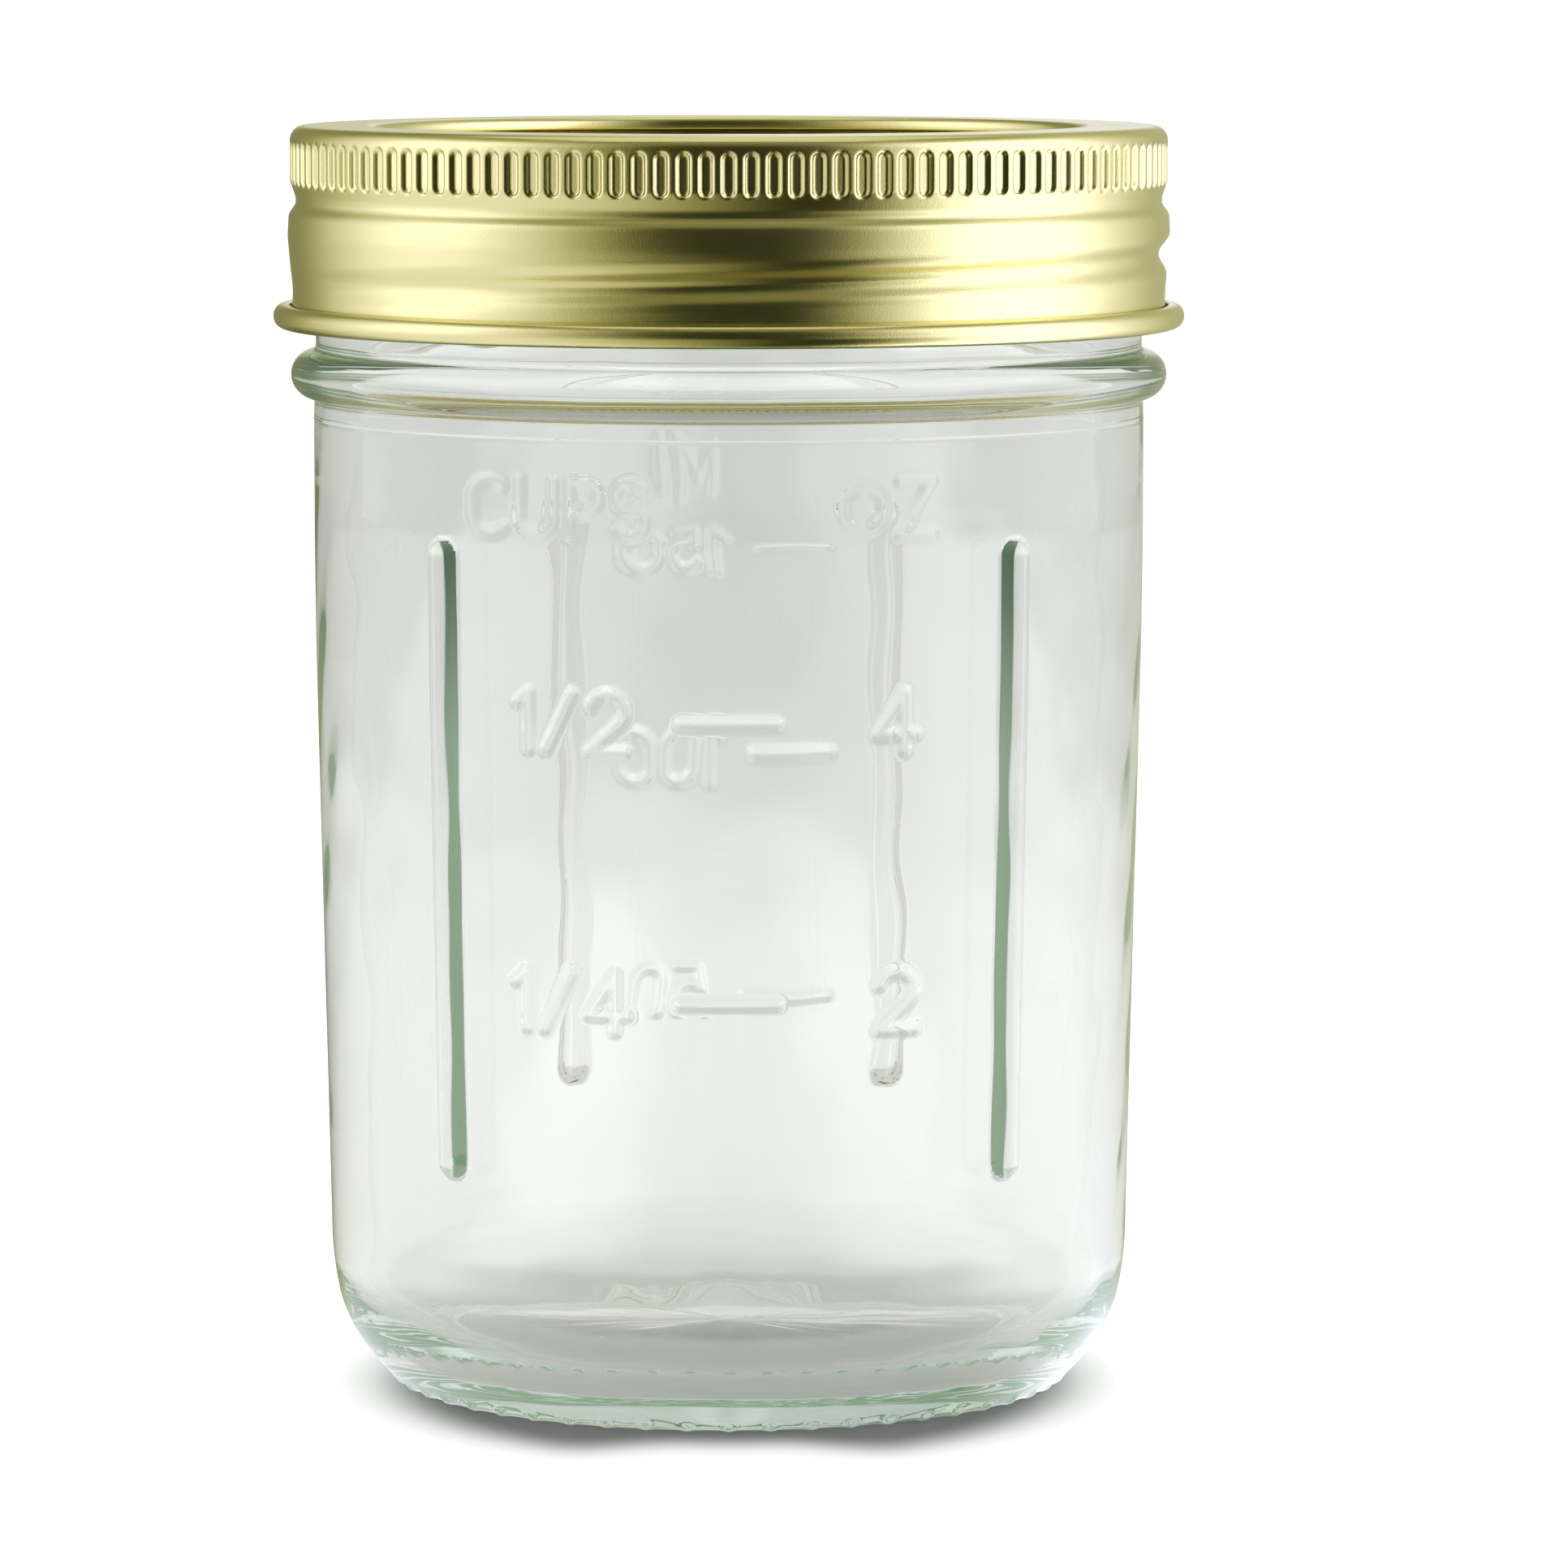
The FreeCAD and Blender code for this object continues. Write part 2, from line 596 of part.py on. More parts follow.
def band_sheet_ring(doc):
    """The rolled sheet: turned-down hem, top flange, knurled wall, neck groove, skirt and outward curl."""
    body = doc.addObject("PartDesign::Body", "screw_band")
    curl = "skirt_radius - band_sheet + curl_section"
    mouth_in = "curl_section - band_sheet"
    turned(body, "PartDesign::Revolution", "sheet", [
        ("band_opening + band_sheet", "band_top - band_hem"),
        ("band_opening + band_sheet", "band_top - band_hem_bend", "band_hem_bend - band_sheet", -1),
        ("band_opening + band_hem_bend", "band_top - band_sheet"),
        ("knurl_inside - band_corner + band_sheet", "band_top - band_sheet", "band_corner - band_sheet", -1),
        ("knurl_inside", "band_top - band_corner"),
        ("knurl_inside", "knurl_foot"),
        ("neck_groove - band_sheet", "neck_groove_height"),
        ("crest_radius - band_sheet", "crest_height"),
        ("crest_radius - band_sheet", "skirt_height"),
        ("skirt_radius - band_sheet", "curl_height + curl_straight + curl_section"),
        ("skirt_radius - band_sheet", "curl_height", "curl_section", 1),
        (curl, "curl_height - curl_section", "curl_section", 1),
        (curl + " + curl_section", "curl_height"),
        (curl + " + curl_section", "curl_height + curl_straight", "curl_section", 1),
        (curl + " - curl_mouth", "curl_height + curl_straight + sqrt(curl_section ^ 2 - curl_mouth ^ 2)"),
        (curl + " - curl_mouth", f"curl_height + curl_straight + sqrt(({mouth_in}) ^ 2 - curl_mouth ^ 2)",
         mouth_in, -1),
        (curl + " + " + mouth_in, "curl_height + curl_straight"),
        (curl + " + " + mouth_in, "curl_height", mouth_in, -1),
        (curl, "curl_height - curl_section + band_sheet", mouth_in, -1),
        ("skirt_radius", "curl_height"),
        ("skirt_radius", "curl_height + curl_straight + curl_section"),
        ("crest_radius", "skirt_height"),
        ("crest_radius", "crest_height"),
        ("neck_groove", "neck_groove_height"),
        ("knurl_outside", "knurl_foot"),
        ("knurl_outside", "band_top - band_corner", "band_corner", 1),
        ("knurl_outside - band_corner", "band_top"),
        ("band_opening + band_hem_bend", "band_top", "band_hem_bend", 1),
        ("band_opening", "band_top - band_hem_bend"),
        ("band_opening", "band_top - band_hem"),
    ])
    return body


def add_knurling(body):
    flute = bar(body, "PartDesign::Groove", "flute", ("knurl_centre", "knurl_low"),
                ("knurl_centre", "knurl_high"), "knurl_nose")
    around(body, "knurling", flute, "knurl_count")


def add_rolled_thread(body):
    """The inward roll: its inner bulge with rounded ends, then the groove it leaves outside."""
    height, turn = "roll_foot_height", "roll_foot_turn"
    ends = (("start", height, turn), ("finish", f"{height} + roll_rise",
                                      f"{turn} + 360 * roll_rise / thread_pitch"))
    half = "sqrt(roll_nose ^ 2 - (roll_centre - roll_root) ^ 2)"
    bulge = [
        ("roll_root", f"{height} + {half}", "roll_nose", 1),
        ("roll_centre - roll_nose", height, "roll_nose", 1),
        ("roll_root", f"{height} - {half}"),
    ]
    inside = thread(body, "PartDesign::AdditiveHelix", "roll_inside", bulge, turn)
    inside.setExpression("Height", bound("roll_rise"))
    FreeCAD.ActiveDocument.recompute()
    for name, up, at in ends:
        ball(body, "PartDesign::AdditiveSphere", "bulge_" + name, "roll_centre", up, at,
             "roll_nose - end_ease", "roll_root")
    reach = "(roll_nose - band_sheet)"
    channel = [
        ("roll_centre", f"{height} + {reach}", reach, 1),
        ("roll_centre - roll_nose + band_sheet", height, reach, 1),
        ("roll_centre", f"{height} - {reach}", reach, 1),
        ("roll_centre + roll_nose - band_sheet", height, reach, 1),
    ]
    outside = thread(body, "PartDesign::SubtractiveHelix", "roll_outside", channel, turn)
    outside.setExpression("Height", bound("roll_rise"))
    FreeCAD.ActiveDocument.recompute()
    for name, up, at in ends:
        ball(body, "PartDesign::SubtractiveSphere", "groove_" + name, "roll_centre", up, at,
             reach + " - end_ease")


def make_screw_band(doc):
    body = band_sheet_ring(doc)
    add_rolled_thread(body)
    add_knurling(body)
    return body


def export_parts(doc, nodes):
    os.makedirs("parts", exist_ok=True)
    doc.recompute()
    for thing in doc.Objects:
        if "Invalid" in thing.State or "Error" in thing.State:
            raise RuntimeError(f"{thing.Name} did not build: {thing.State}")
    for name, node in nodes.items():
        node.Label = name
        node.Placement = FreeCAD.Placement()
        doc.recompute()
        shape = node.Shape
        if shape.isNull() or not shape.isValid() or len(shape.Solids) != 1:
            raise RuntimeError(f"{name} is not one valid solid")
        box = shape.optimalBoundingBox(True, False)
        print(f"{name}: {shape.Volume:.1f} mm3, radius {box.XMax:.2f}, z {box.ZMin:.2f} to {box.ZMax:.2f}")
        shape.exportStep(f"parts/{name}.step")


def main():
    doc = FreeCAD.newDocument("mason_jar")
    make_sheet(doc)
    nodes = {
        "glass_jar": make_glass_jar(doc),
        "lid_disc": make_lid_disc(doc),
        "sealing_ring": make_sealing_ring(doc),
        "screw_band": make_screw_band(doc),
    }
    export_parts(doc, nodes)


main()
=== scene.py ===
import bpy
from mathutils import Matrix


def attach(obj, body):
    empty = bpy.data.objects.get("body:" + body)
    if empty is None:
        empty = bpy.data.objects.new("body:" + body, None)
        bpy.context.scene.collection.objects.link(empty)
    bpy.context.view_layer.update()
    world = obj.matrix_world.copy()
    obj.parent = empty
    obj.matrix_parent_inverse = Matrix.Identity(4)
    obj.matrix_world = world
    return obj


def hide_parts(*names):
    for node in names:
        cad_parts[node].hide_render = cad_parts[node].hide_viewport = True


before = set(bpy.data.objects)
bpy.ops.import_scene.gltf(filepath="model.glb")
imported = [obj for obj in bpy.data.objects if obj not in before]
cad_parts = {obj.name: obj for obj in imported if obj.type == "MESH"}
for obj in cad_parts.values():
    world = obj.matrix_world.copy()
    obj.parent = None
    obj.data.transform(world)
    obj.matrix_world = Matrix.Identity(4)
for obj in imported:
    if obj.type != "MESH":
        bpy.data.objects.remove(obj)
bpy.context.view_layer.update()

import math

import bpy
import numpy as np
from mathutils import Vector

# Looks for the mason jar. The jar's axis is Z and its graduated face looks along -Y. Angles around the axis
# are measured from +X, so the front is at -90 degrees. Lengths are millimetres up to the point where a mesh is
# made, and metres in the shaders, the lights and the camera.

MM = 0.001
FRONT = -math.pi / 2
TURN = 2 * math.pi
COARSE = 1.0
rng = np.random.default_rng(41)

# Glass
PITCH = 5.08
BODY_RADIUS = 33.48
SHOULDER_RADIUS = 33.4
HEEL_RADIUS = 32.36
BEAD_HEIGHT = 81.67
BEAD_RADIUS = 35.32
BEAD_SECTION = 1.95
NECK_RADIUS = 33.3
RIM_HEIGHT = 100.35
MOUTH_RADIUS = 29.9
RIM_ROUND = 1.3
WALL = 3.06
GLASS_COLUMNS = 640

# Thread: the roll is pressed into the band and the ridge stands out from the glass
ROLL_FOOT_HEIGHT = 88.9
ROLL_FOOT_ANGLE = math.pi
ROLL_TURNS = 1.03
ROLL_DEPTH = 0.8
ROLL_HALF_WIDTH = 1.75

THREAD_FOOT_ANGLE = math.radians(-56)
THREAD_TURNS = 1.2
THREAD_STAND = 1.35
THREAD_HALF_WIDTH = 1.55

# Ribs and marks raised from the glass
RIB_ANGLE_FRONT = math.radians(41.4)
RIB_ANGLE_BACK = math.radians(154)
RIB_FOOT = 21.0
RIB_HEAD = 68.8
RIB_NOSE = 1.35
RIB_SINK = 0.15

MARK_STAND = 0.15
MARK_HALF_WIDTH = 0.42
MARK_SOFT = 0.5
MARK_TEXT = 4.5
TITLE_TEXT = 0.92 * MARK_TEXT
TITLE_HEIGHT = 72.9
TITLE_WEAR = 0.55

SEAM_HEIGHT = 78.1
SEAM_STAND = 0.05

STIPPLE_COUNT = 52
STIPPLE_RADIUS = 27.3
STIPPLE_STAND = 0.18
STIPPLE_SPREAD = 0.55

# Band
METAL_STEP = 0.02
SHEET = 0.25
CURL_FOOT = 86.27
CURL_HEAD = 86.42
KNURL_COUNT = 128
KNURL_COLUMNS = 12
KNURL_DEPTH = 0.34
KNURL_LOW = 97.45
KNURL_HIGH = 99.8
KNURL_FLOOR = 0.36
KNURL_EDGE = 0.62

LID_COLUMNS = 480
SEAL_COLUMNS = 360

# Tones. Levels are (start, end, low, high): how the tent brightens from low to high between two angles, in
# radians from the camera's side.
CLEAR_TINT = (0.975, 0.98, 0.955, 1)
RIB_TINT = (0.87, 0.9, 0.83, 1)
GLASS_SHEEN = (1.0, 0.98, 0.72, 1)
GLASS_DEPTH = (0.5, 0.8, 0.62, 1)
# Painted glow shown where light guided through the thick glass is cut short: lower and higher on the near
# wall, and in the far wall.
GUIDED_LOW = (0.32, 0.41, 0.31, 1)
GUIDED_HIGH = (0.1, 0.16, 0.11, 1)
GUIDED_FAR = (0.68, 0.66, 0.65, 1)
GOLD = (0.80, 0.735, 0.36, 1), (0.83, 0.765, 0.4, 1)
ENAMEL = (0.74, 0.73, 0.68, 1), (0.79, 0.78, 0.73, 1)
COMPOUND = (0.34, 0.09, 0.05, 1), (0.4, 0.12, 0.07, 1)
TENT_DIM = (1, 1, 0.46, 1)
TENT_BRIGHT = (0.99, 1.0, 1.14, 1)
WHITE = (1, 1, 1, 1)

SKY_RIGHT = (0.35, 1.15, 0.0, 1.4)
SKY_LEFT = (0.2, 1.35, 0.0, 1.25)
# Painted reflection: how bright the paper shows in mirrored rays, near the jar and far from it.
NEAR_PAPER_RIGHT = (0.5, 1.2, 0.0, 1.4)
NEAR_PAPER_LEFT = (-0.4, 1.1, 0.0, 1.0)
FAR_PAPER_RIGHT = (0.25, 1.1, 0.0, 1.4)
FAR_PAPER_LEFT = (0.05, 1.35, 0.0, 1.15)
OVERHEAD = 0.22
LEAST_LEVEL = 0.03

LIGHT_BOUNCES = 32


# ---------------------------------------------------------------- outlines

def short_arc(start, end, radius, side, step):
    """Points along the short arc from start towards end: side 1 is counter-clockwise, -1 clockwise."""
    start, end = np.array(start, float), np.array(end, float)
    chord = end - start
    length = np.hypot(*chord)
    left = np.array([-chord[1], chord[0]]) / length
    reach = math.sqrt(max(radius**2 - (length / 2) ** 2, 0.0))
    centre = (start + end) / 2 + left * side * reach
    first = math.atan2(*(start - centre)[::-1])
    sweep = 2 * math.asin(min(length / (2 * radius), 1.0)) * side
    count = max(int(radius * abs(sweep) / step), 1)
    angles = first + sweep * np.arange(count) / count
    return centre + radius * np.column_stack([np.cos(angles), np.sin(angles)])


def trace(points, step=0.05):
    """A finely sampled path through (radius, height) points; a point with a radius and side starts an arc."""
    runs = []
    for here, there in zip(points, points[1:]):
        if len(here) == 4:
            runs.append(short_arc(here[:2], there[:2], here[2], here[3], step))
            continue
        start = np.array(here[:2], float)
        run = np.array(there[:2], float) - start
        count = max(int(np.hypot(*run) / step), 1)
        runs.append(start + run * (np.arange(count) / count)[:, None])
    runs.append(np.array([points[-1][:2]], float))
    return np.vstack(runs)


def soften(path, width, step=0.05):
    """Rounds a path's corners over about that width; its two ends stay where they are."""
    reach = int(3 * width / step)
    kernel = np.exp(-0.5 * (np.arange(-reach, reach + 1) * step / width) ** 2)
    kernel /= kernel.sum()
    head = 2 * path[0] - path[reach:0:-1]
    tail = 2 * path[-1] - path[-2:-reach - 2:-1]
    padded = np.vstack([head, path, tail])
    return np.column_stack([np.convolve(padded[:, i], kernel, "valid") for i in (0, 1)])


def pick_rows(path, spacing):
    """Chooses rows along a fine path so that their distance follows spacing(radius, height)."""
    lengths = np.hypot(*np.diff(path, axis=0).T)
    middle = (path[1:] + path[:-1]) / 2
    density = np.cumsum(lengths / (spacing(middle[:, 0], middle[:, 1]) * COARSE))
    count = max(int(density[-1]), 3)
    wanted = np.linspace(0, density[-1], count + 1)
    return np.interp(wanted, np.concatenate([[0], density]), np.arange(len(path)))


def at_rows(path, rows):
    """The path's points at fractional rows."""
    low = np.clip(rows.astype(int), 0, len(path) - 2)
    part = (rows - low)[:, None]
    return path[low] * (1 - part) + path[low + 1] * part


def outward(path):
    """Unit normals on the right-hand side of a path."""
    along = np.gradient(path, axis=0)
    along /= np.hypot(*along.T)[:, None]
    return np.column_stack([along[:, 1], -along[:, 0]])


# ---------------------------------------------------------------- meshes

def make_mesh(name, points, quads, triangles=(), weights=None):
    """A smooth-shaded mesh object from points in millimetres."""
    mesh = bpy.data.meshes.new(name)
    faces = [np.asarray(f, np.int32) for f in (quads, triangles) if len(f)]
    sizes = np.concatenate([np.full(len(f), f.shape[1], np.int32) for f in faces])
    corners = np.concatenate([f.ravel() for f in faces])
    mesh.vertices.add(len(points))
    mesh.vertices.foreach_set("co", (points * MM).astype(np.float32).ravel())
    mesh.loops.add(len(corners))
    mesh.loops.foreach_set("vertex_index", corners)
    mesh.polygons.add(len(sizes))
    mesh.polygons.foreach_set("loop_start", np.concatenate([[0], np.cumsum(sizes)[:-1]]).astype(np.int32))
    mesh.polygons.foreach_set("loop_total", sizes)
    mesh.polygons.foreach_set("use_smooth", np.ones(len(sizes), bool))
    mesh.update(calc_edges=True)
    for key, values in (weights or {}).items():
        layer = mesh.attributes.new(key, "FLOAT", "POINT")
        layer.data.foreach_set("value", values.astype(np.float32))
    thing = bpy.data.objects.new(name, mesh)
    bpy.context.scene.collection.objects.link(thing)
    return thing


def ring_quads(rows, columns, closed_rows):
    """Quads of a grid that closes around its columns, and around its rows too if asked."""
    row = np.arange(rows if closed_rows else rows - 1)
    column = np.arange(columns)
    r0, c0 = (a.ravel() for a in np.meshgrid(row, column, indexing="ij"))
    r1, c1 = (r0 + 1) % rows, (c0 + 1) % columns
    return np.column_stack([r0 * columns + c0, r0 * columns + c1, r1 * columns + c1, r1 * columns + c0])


def polar(radius, angle, height):
    """Points in space for a radius, an angle around the axis and a height."""
    return np.stack([radius * np.cos(angle), radius * np.sin(angle), height], axis=-1)


def turned(path, angle):
    """A path of (radius, height) points turned round the axis."""
    return polar(path[:, :1] + 0 * angle, angle, path[:, 1:] + 0 * angle)


def even_angles(count):
    """A row of so many angles, evenly spread all the way round."""
    return (np.arange(count) / count * TURN)[None, :]


def close_at_axis(points):
    """Points, quads and triangles of a lathed grid, with its first and last rows shrunk to a pole each."""
    rows, columns = points.shape[:2]
    flat = points[1:-1].reshape(-1, 3)
    inner_rows = rows - 2
    poles = np.array([points[0].mean(0), points[-1].mean(0)])
    quads = ring_quads(inner_rows, columns, False)
    near, far = len(flat), len(flat) + 1
    column = np.arange(columns)
    following = (column + 1) % columns
    last = (inner_rows - 1) * columns
    first_fan = np.column_stack([np.full(columns, near), following, column])
    last_fan = np.column_stack([np.full(columns, far), last + column, last + following])
    return np.vstack([flat, poles]), quads, np.vstack([first_fan, last_fan])


def spread_angles(density_at, count):
    """Angles around the axis, packed by density, starting at the back."""
    steps = 7200
    fine = np.linspace(0, TURN, steps, endpoint=False) + math.pi / 2
    density = density_at(fine)
    total = np.cumsum(density)
    wanted = np.arange(count) / count * total[-1]
    return np.interp(wanted, np.concatenate([[0], total[:-1]]), fine)


def turn_difference(angle, other):
    """The signed angle from other to angle, the short way round."""
    return (angle - other + math.pi) % TURN - math.pi


def smooth(value):
    """An eased step from 0 to 1."""
    value = np.clip(value, 0, 1)
    return value * value * (3 - 2 * value)


# ---------------------------------------------------------------- graduation marks

# Strokes in units of the character height: (width, lines of (across, up) points, arcs). An arc is
# (centre across, centre up, radius, first angle, last angle).
CHARACTERS = {
    "0": (0.62, [[(0, 0.31), (0, 0.69)], [(0.62, 0.31), (0.62, 0.69)]],
          [(0.31, 0.69, 0.31, 0, 180), (0.31, 0.31, 0.31, 180, 360)]),
    "1": (0.2, [[(0, 0.8), (0.2, 1), (0.2, 0)]], []),
    "2": (0.6, [[(0.52, 0.5), (0, 0), (0.6, 0)]], [(0.3, 0.7, 0.3, -42, 165)]),
    "4": (0.66, [[(0.66, 0.28), (0, 0.28), (0.46, 1), (0.46, 0)]], []),
    "5": (0.58, [[(0.54, 1), (0.08, 1), (0.04, 0.55)]], [(0.27, 0.32, 0.32, -150, 130)]),
    "/": (0.46, [[(0, 0), (0.46, 1)]], []),
    "C": (0.6, [[(0, 0.34), (0, 0.66)]], [(0.34, 0.66, 0.34, 40, 180), (0.34, 0.34, 0.34, 180, 320)]),
    "U": (0.64, [[(0, 1), (0, 0.32)], [(0.64, 1), (0.64, 0.32)]], [(0.32, 0.32, 0.32, 180, 360)]),
    "P": (0.56, [[(0.29, 0.46), (0, 0.46)], [(0.29, 1), (0, 1), (0, 0)]], [(0.29, 0.73, 0.27, -90, 90)]),
    "S": (0.54, [], [(0.27, 0.73, 0.27, 30, 270), (0.27, 0.27, 0.27, -150, 90)]),
    "O": (0.8, [], [(0.4, 0.5, 0.4, 0, 360)]),
    "Z": (0.6, [[(0, 1), (0.6, 1), (0, 0), (0.6, 0)]], []),
    "M": (0.78, [[(0, 0), (0, 1), (0.39, 0.35), (0.78, 1), (0.78, 0)]], []),
    "L": (0.5, [[(0, 1), (0, 0), (0.5, 0)]], []),
}
CHARACTER_GAP = 0.3


def written(text, centre, middle, size):
    """The strokes of a line of text: segments (x0, z0, x1, z1) and arcs (x, z, radius, first, last)."""
    width = (sum(CHARACTERS[c][0] for c in text) + CHARACTER_GAP * (len(text) - 1)) * size
    cursor, foot = centre - width / 2, middle - size / 2
    segments, arcs = [], []
    for character in text:
        advance, lines, curves = CHARACTERS[character]
        for line in lines:
            placed = [(cursor + x * size, foot + z * size) for x, z in line]
            segments += [a + b for a, b in zip(placed, placed[1:])]
        arcs += [(cursor + x * size, foot + z * size, r * size, a, b) for x, z, r, a, b in curves]
        cursor += (advance + CHARACTER_GAP) * size
    return segments, arcs


def scale_marks():
    """The two scales: cups and ounces at the front, millilitres at the back."""
    front, back = ([], []), ([], [])

    def add(side, segments, arcs=()):
        side[0].extend(segments)
        side[1].extend(arcs)

    add(front, *written("CUPS", -13.2, TITLE_HEIGHT, TITLE_TEXT))
    add(front, *written("OZ", 12.2, TITLE_HEIGHT, TITLE_TEXT))
    for height, cups, ounces in ((56.4, "1/2", "4"), (34.6, "1/4", "2")):
        add(front, *written(cups, -12.2, height, MARK_TEXT))
        add(front, *written(ounces, 13.0, height, MARK_TEXT))
        add(front, [(-3.7, height, 3.7, height)])
    add(back, *written("ML", 5.3, TITLE_HEIGHT, TITLE_TEXT))
    for height, number in ((65.4, "150"), (47.5, "100"), (26.7, "50")):
        add(back, *written(number, 5.3, height, MARK_TEXT))
        add(back, [(-9.1, height, -2.2, height)])
    return front, back


def stroke_distance(x, z, segments, arcs):
    """Distance from each point to the nearest stroke, cut off at far."""
    far = 9.0
    nearest = np.full(x.shape, far)
    for x0, z0, x1, z1 in segments:
        dx, dz = x1 - x0, z1 - z0
        along = np.clip(((x - x0) * dx + (z - z0) * dz) / (dx * dx + dz * dz), 0, 1)
        nearest = np.minimum(nearest, np.hypot(x - x0 - along * dx, z - z0 - along * dz))
    for cx, cz, radius, first, last in arcs:
        angle = np.degrees(np.arctan2(z - cz, x - cx))
        inside = (angle - first) % 360 <= last - first
        distance = np.where(inside, np.abs(np.hypot(x - cx, z - cz) - radius), far)
        for end in (math.radians(first), math.radians(last)):
            ex = cx + radius * math.cos(end)
            ez = cz + radius * math.sin(end)
            distance = np.minimum(distance, np.hypot(x - ex, z - ez))
        nearest = np.minimum(nearest, distance)
    return nearest


# ---------------------------------------------------------------- glass

def glass_outline():
    """Outside from the push-up's centre to the rim, then down the inside to the floor's centre."""
    push_up, push_up_bend, underside = 1.8, 190.0, 23.9
    floor, floor_bend, floor_radius = 4.6, 192.0, 21.5
    underside_height = push_up - push_up_bend + math.sqrt(push_up_bend**2 - underside**2)
    floor_height = floor - floor_bend + math.sqrt(floor_bend**2 - floor_radius**2)
    outside = [
        (0, push_up, push_up_bend, -1),
        (underside, underside_height, 0.9, 1),
        (24.6, 0),
        (26.3, 0, 2.0, 1),
        (27.8, 0.68, 14.4, 1),
        (31.62, 6.6, 27.0, 1),
        (HEEL_RADIUS, 13.0),
        (SHOULDER_RADIUS, 60.0),
        (BODY_RADIUS, 69.0),
        (BODY_RADIUS, 77.0),
        (BODY_RADIUS - 0.04, BEAD_HEIGHT - BEAD_SECTION),
        (BEAD_RADIUS - BEAD_SECTION, BEAD_HEIGHT - BEAD_SECTION, BEAD_SECTION, 1),
        (BEAD_RADIUS, BEAD_HEIGHT, BEAD_SECTION, 1),
        (BEAD_RADIUS - BEAD_SECTION, BEAD_HEIGHT + BEAD_SECTION),
        (NECK_RADIUS, BEAD_HEIGHT + BEAD_SECTION + 0.1),
        (NECK_RADIUS, RIM_HEIGHT - RIM_ROUND, RIM_ROUND, 1),
        (NECK_RADIUS - RIM_ROUND, RIM_HEIGHT),
    ]
    inside = [
        (NECK_RADIUS - RIM_ROUND, RIM_HEIGHT),
        (MOUTH_RADIUS + RIM_ROUND, RIM_HEIGHT, RIM_ROUND, 1),
        (MOUTH_RADIUS, RIM_HEIGHT - RIM_ROUND),
        (MOUTH_RADIUS, 84.0),
        (BODY_RADIUS - WALL, 70.0),
        (SHOULDER_RADIUS - WALL, 60.0),
        (HEEL_RADIUS - WALL, 10.4, 7.0, -1),
        (floor_radius, floor_height, floor_bend, 1),
        (0, floor),
    ]
    return soften(trace(outside), 0.22), soften(trace(inside), 0.22)


def ribs(angle, radius, height, turns):
    """Round-nosed upright ribs at these angles from the front."""
    stand = np.zeros(np.broadcast(angle, radius).shape)
    for turn in turns:
        across = radius * turn_difference(angle, FRONT + turn)
        past = height - np.clip(height, RIB_FOOT, RIB_HEAD)
        away = np.hypot(across, past)
        stand = np.maximum(stand, np.sqrt(np.clip(RIB_NOSE**2 - away**2, 0, None)) - RIB_SINK)
    return stand * (radius > 25)


def neck_thread(angle, radius, height):
    """A rounded ridge up the right-handed thread, fading out at both ends."""
    foot = ROLL_FOOT_HEIGHT + PITCH * (0.5 + (THREAD_FOOT_ANGLE - ROLL_FOOT_ANGLE) / TURN)
    stand = np.zeros(np.broadcast(angle, radius).shape)
    for lap in range(-1, 3):
        turned = (angle - THREAD_FOOT_ANGLE) % TURN + lap * TURN
        share = turned / TURN
        fade = smooth(share / 0.07) * smooth((THREAD_TURNS - share) / 0.07)
        away = np.abs(height - foot - PITCH * share) / THREAD_HALF_WIDTH
        ridge = np.where(away < 1, np.cos(away * math.pi / 2) ** 1.3, 0)
        stand = np.maximum(stand, THREAD_STAND * fade * ridge)
    return stand


def stipple(angle, radius, height):
    """Round bumps on the bearing ring."""
    pitch = TURN / STIPPLE_COUNT
    across = ((angle / pitch + 0.5) % 1 - 0.5) * pitch * radius
    away = np.hypot(across, radius - STIPPLE_RADIUS)
    return np.where(height < 3, STIPPLE_STAND * np.exp(-(away / STIPPLE_SPREAD) ** 2), 0)


def marks(angle, radius, height):
    """How far the graduations stand out: flat-topped strokes with soft edges, lower in the worn titles."""
    front, back = scale_marks()
    x, y = radius * np.cos(angle), radius * np.sin(angle)
    stand = np.zeros(x.shape)
    rows = np.where((height[:, 0] > 25) & (height[:, 0] < 77))[0]
    for side, (segments, arcs) in ((-1, front), (1, back)):
        columns = np.where(side * np.sin(angle[0]) > 0.7)[0]
        block = np.ix_(rows, columns)
        away = stroke_distance(-side * x[block], height[block], segments, arcs)
        worn = 1 - TITLE_WEAR * smooth((height[block] - 66) / 4)
        stand[block] = MARK_STAND * worn * smooth((MARK_HALF_WIDTH + MARK_SOFT / 2 - away) / MARK_SOFT)
    return stand


def waviness(angle, height, size, laps, rise, count=8):
    """The soft unevenness of blown glass: seeded ripples of up to so many laps around and so steep a rise."""
    total = np.zeros(np.broadcast(angle, height).shape)
    for _ in range(count):
        around = int(rng.integers(2, laps))
        up = rng.uniform(-rise, rise)
        total += np.cos(around * angle + up * height + rng.uniform(0, TURN)) / count
    return size * total


def outside_spacing(radius, height):
    """Distance between rows: close along the marks, the neck and the bearing ring, closest at the seam."""
    spacing = np.where((height > 19) & (height < 76.5), 0.26, 0.42)
    spacing = np.where((height > 78) & (height < 98), 0.24, spacing)
    spacing = np.where(np.abs(height - SEAM_HEIGHT) < 0.4, 0.07, spacing)
    spacing = np.where((height < 2.2) & (radius > 24), 0.16, spacing)
    return np.where(radius < 23, 0.9, spacing)


def inside_spacing(radius, height):
    return np.where((height > 76) & (height < 80), 0.25, np.where(height > 98, 0.22, 0.8))


def column_density(angle):
    """More columns across the two scales than at the sides."""
    front = np.abs(turn_difference(angle, FRONT)) < math.radians(44)
    back = np.abs(turn_difference(angle, -FRONT)) < math.radians(33)
    return np.where(front, 2.0, np.where(back, 1.6, 1.0))


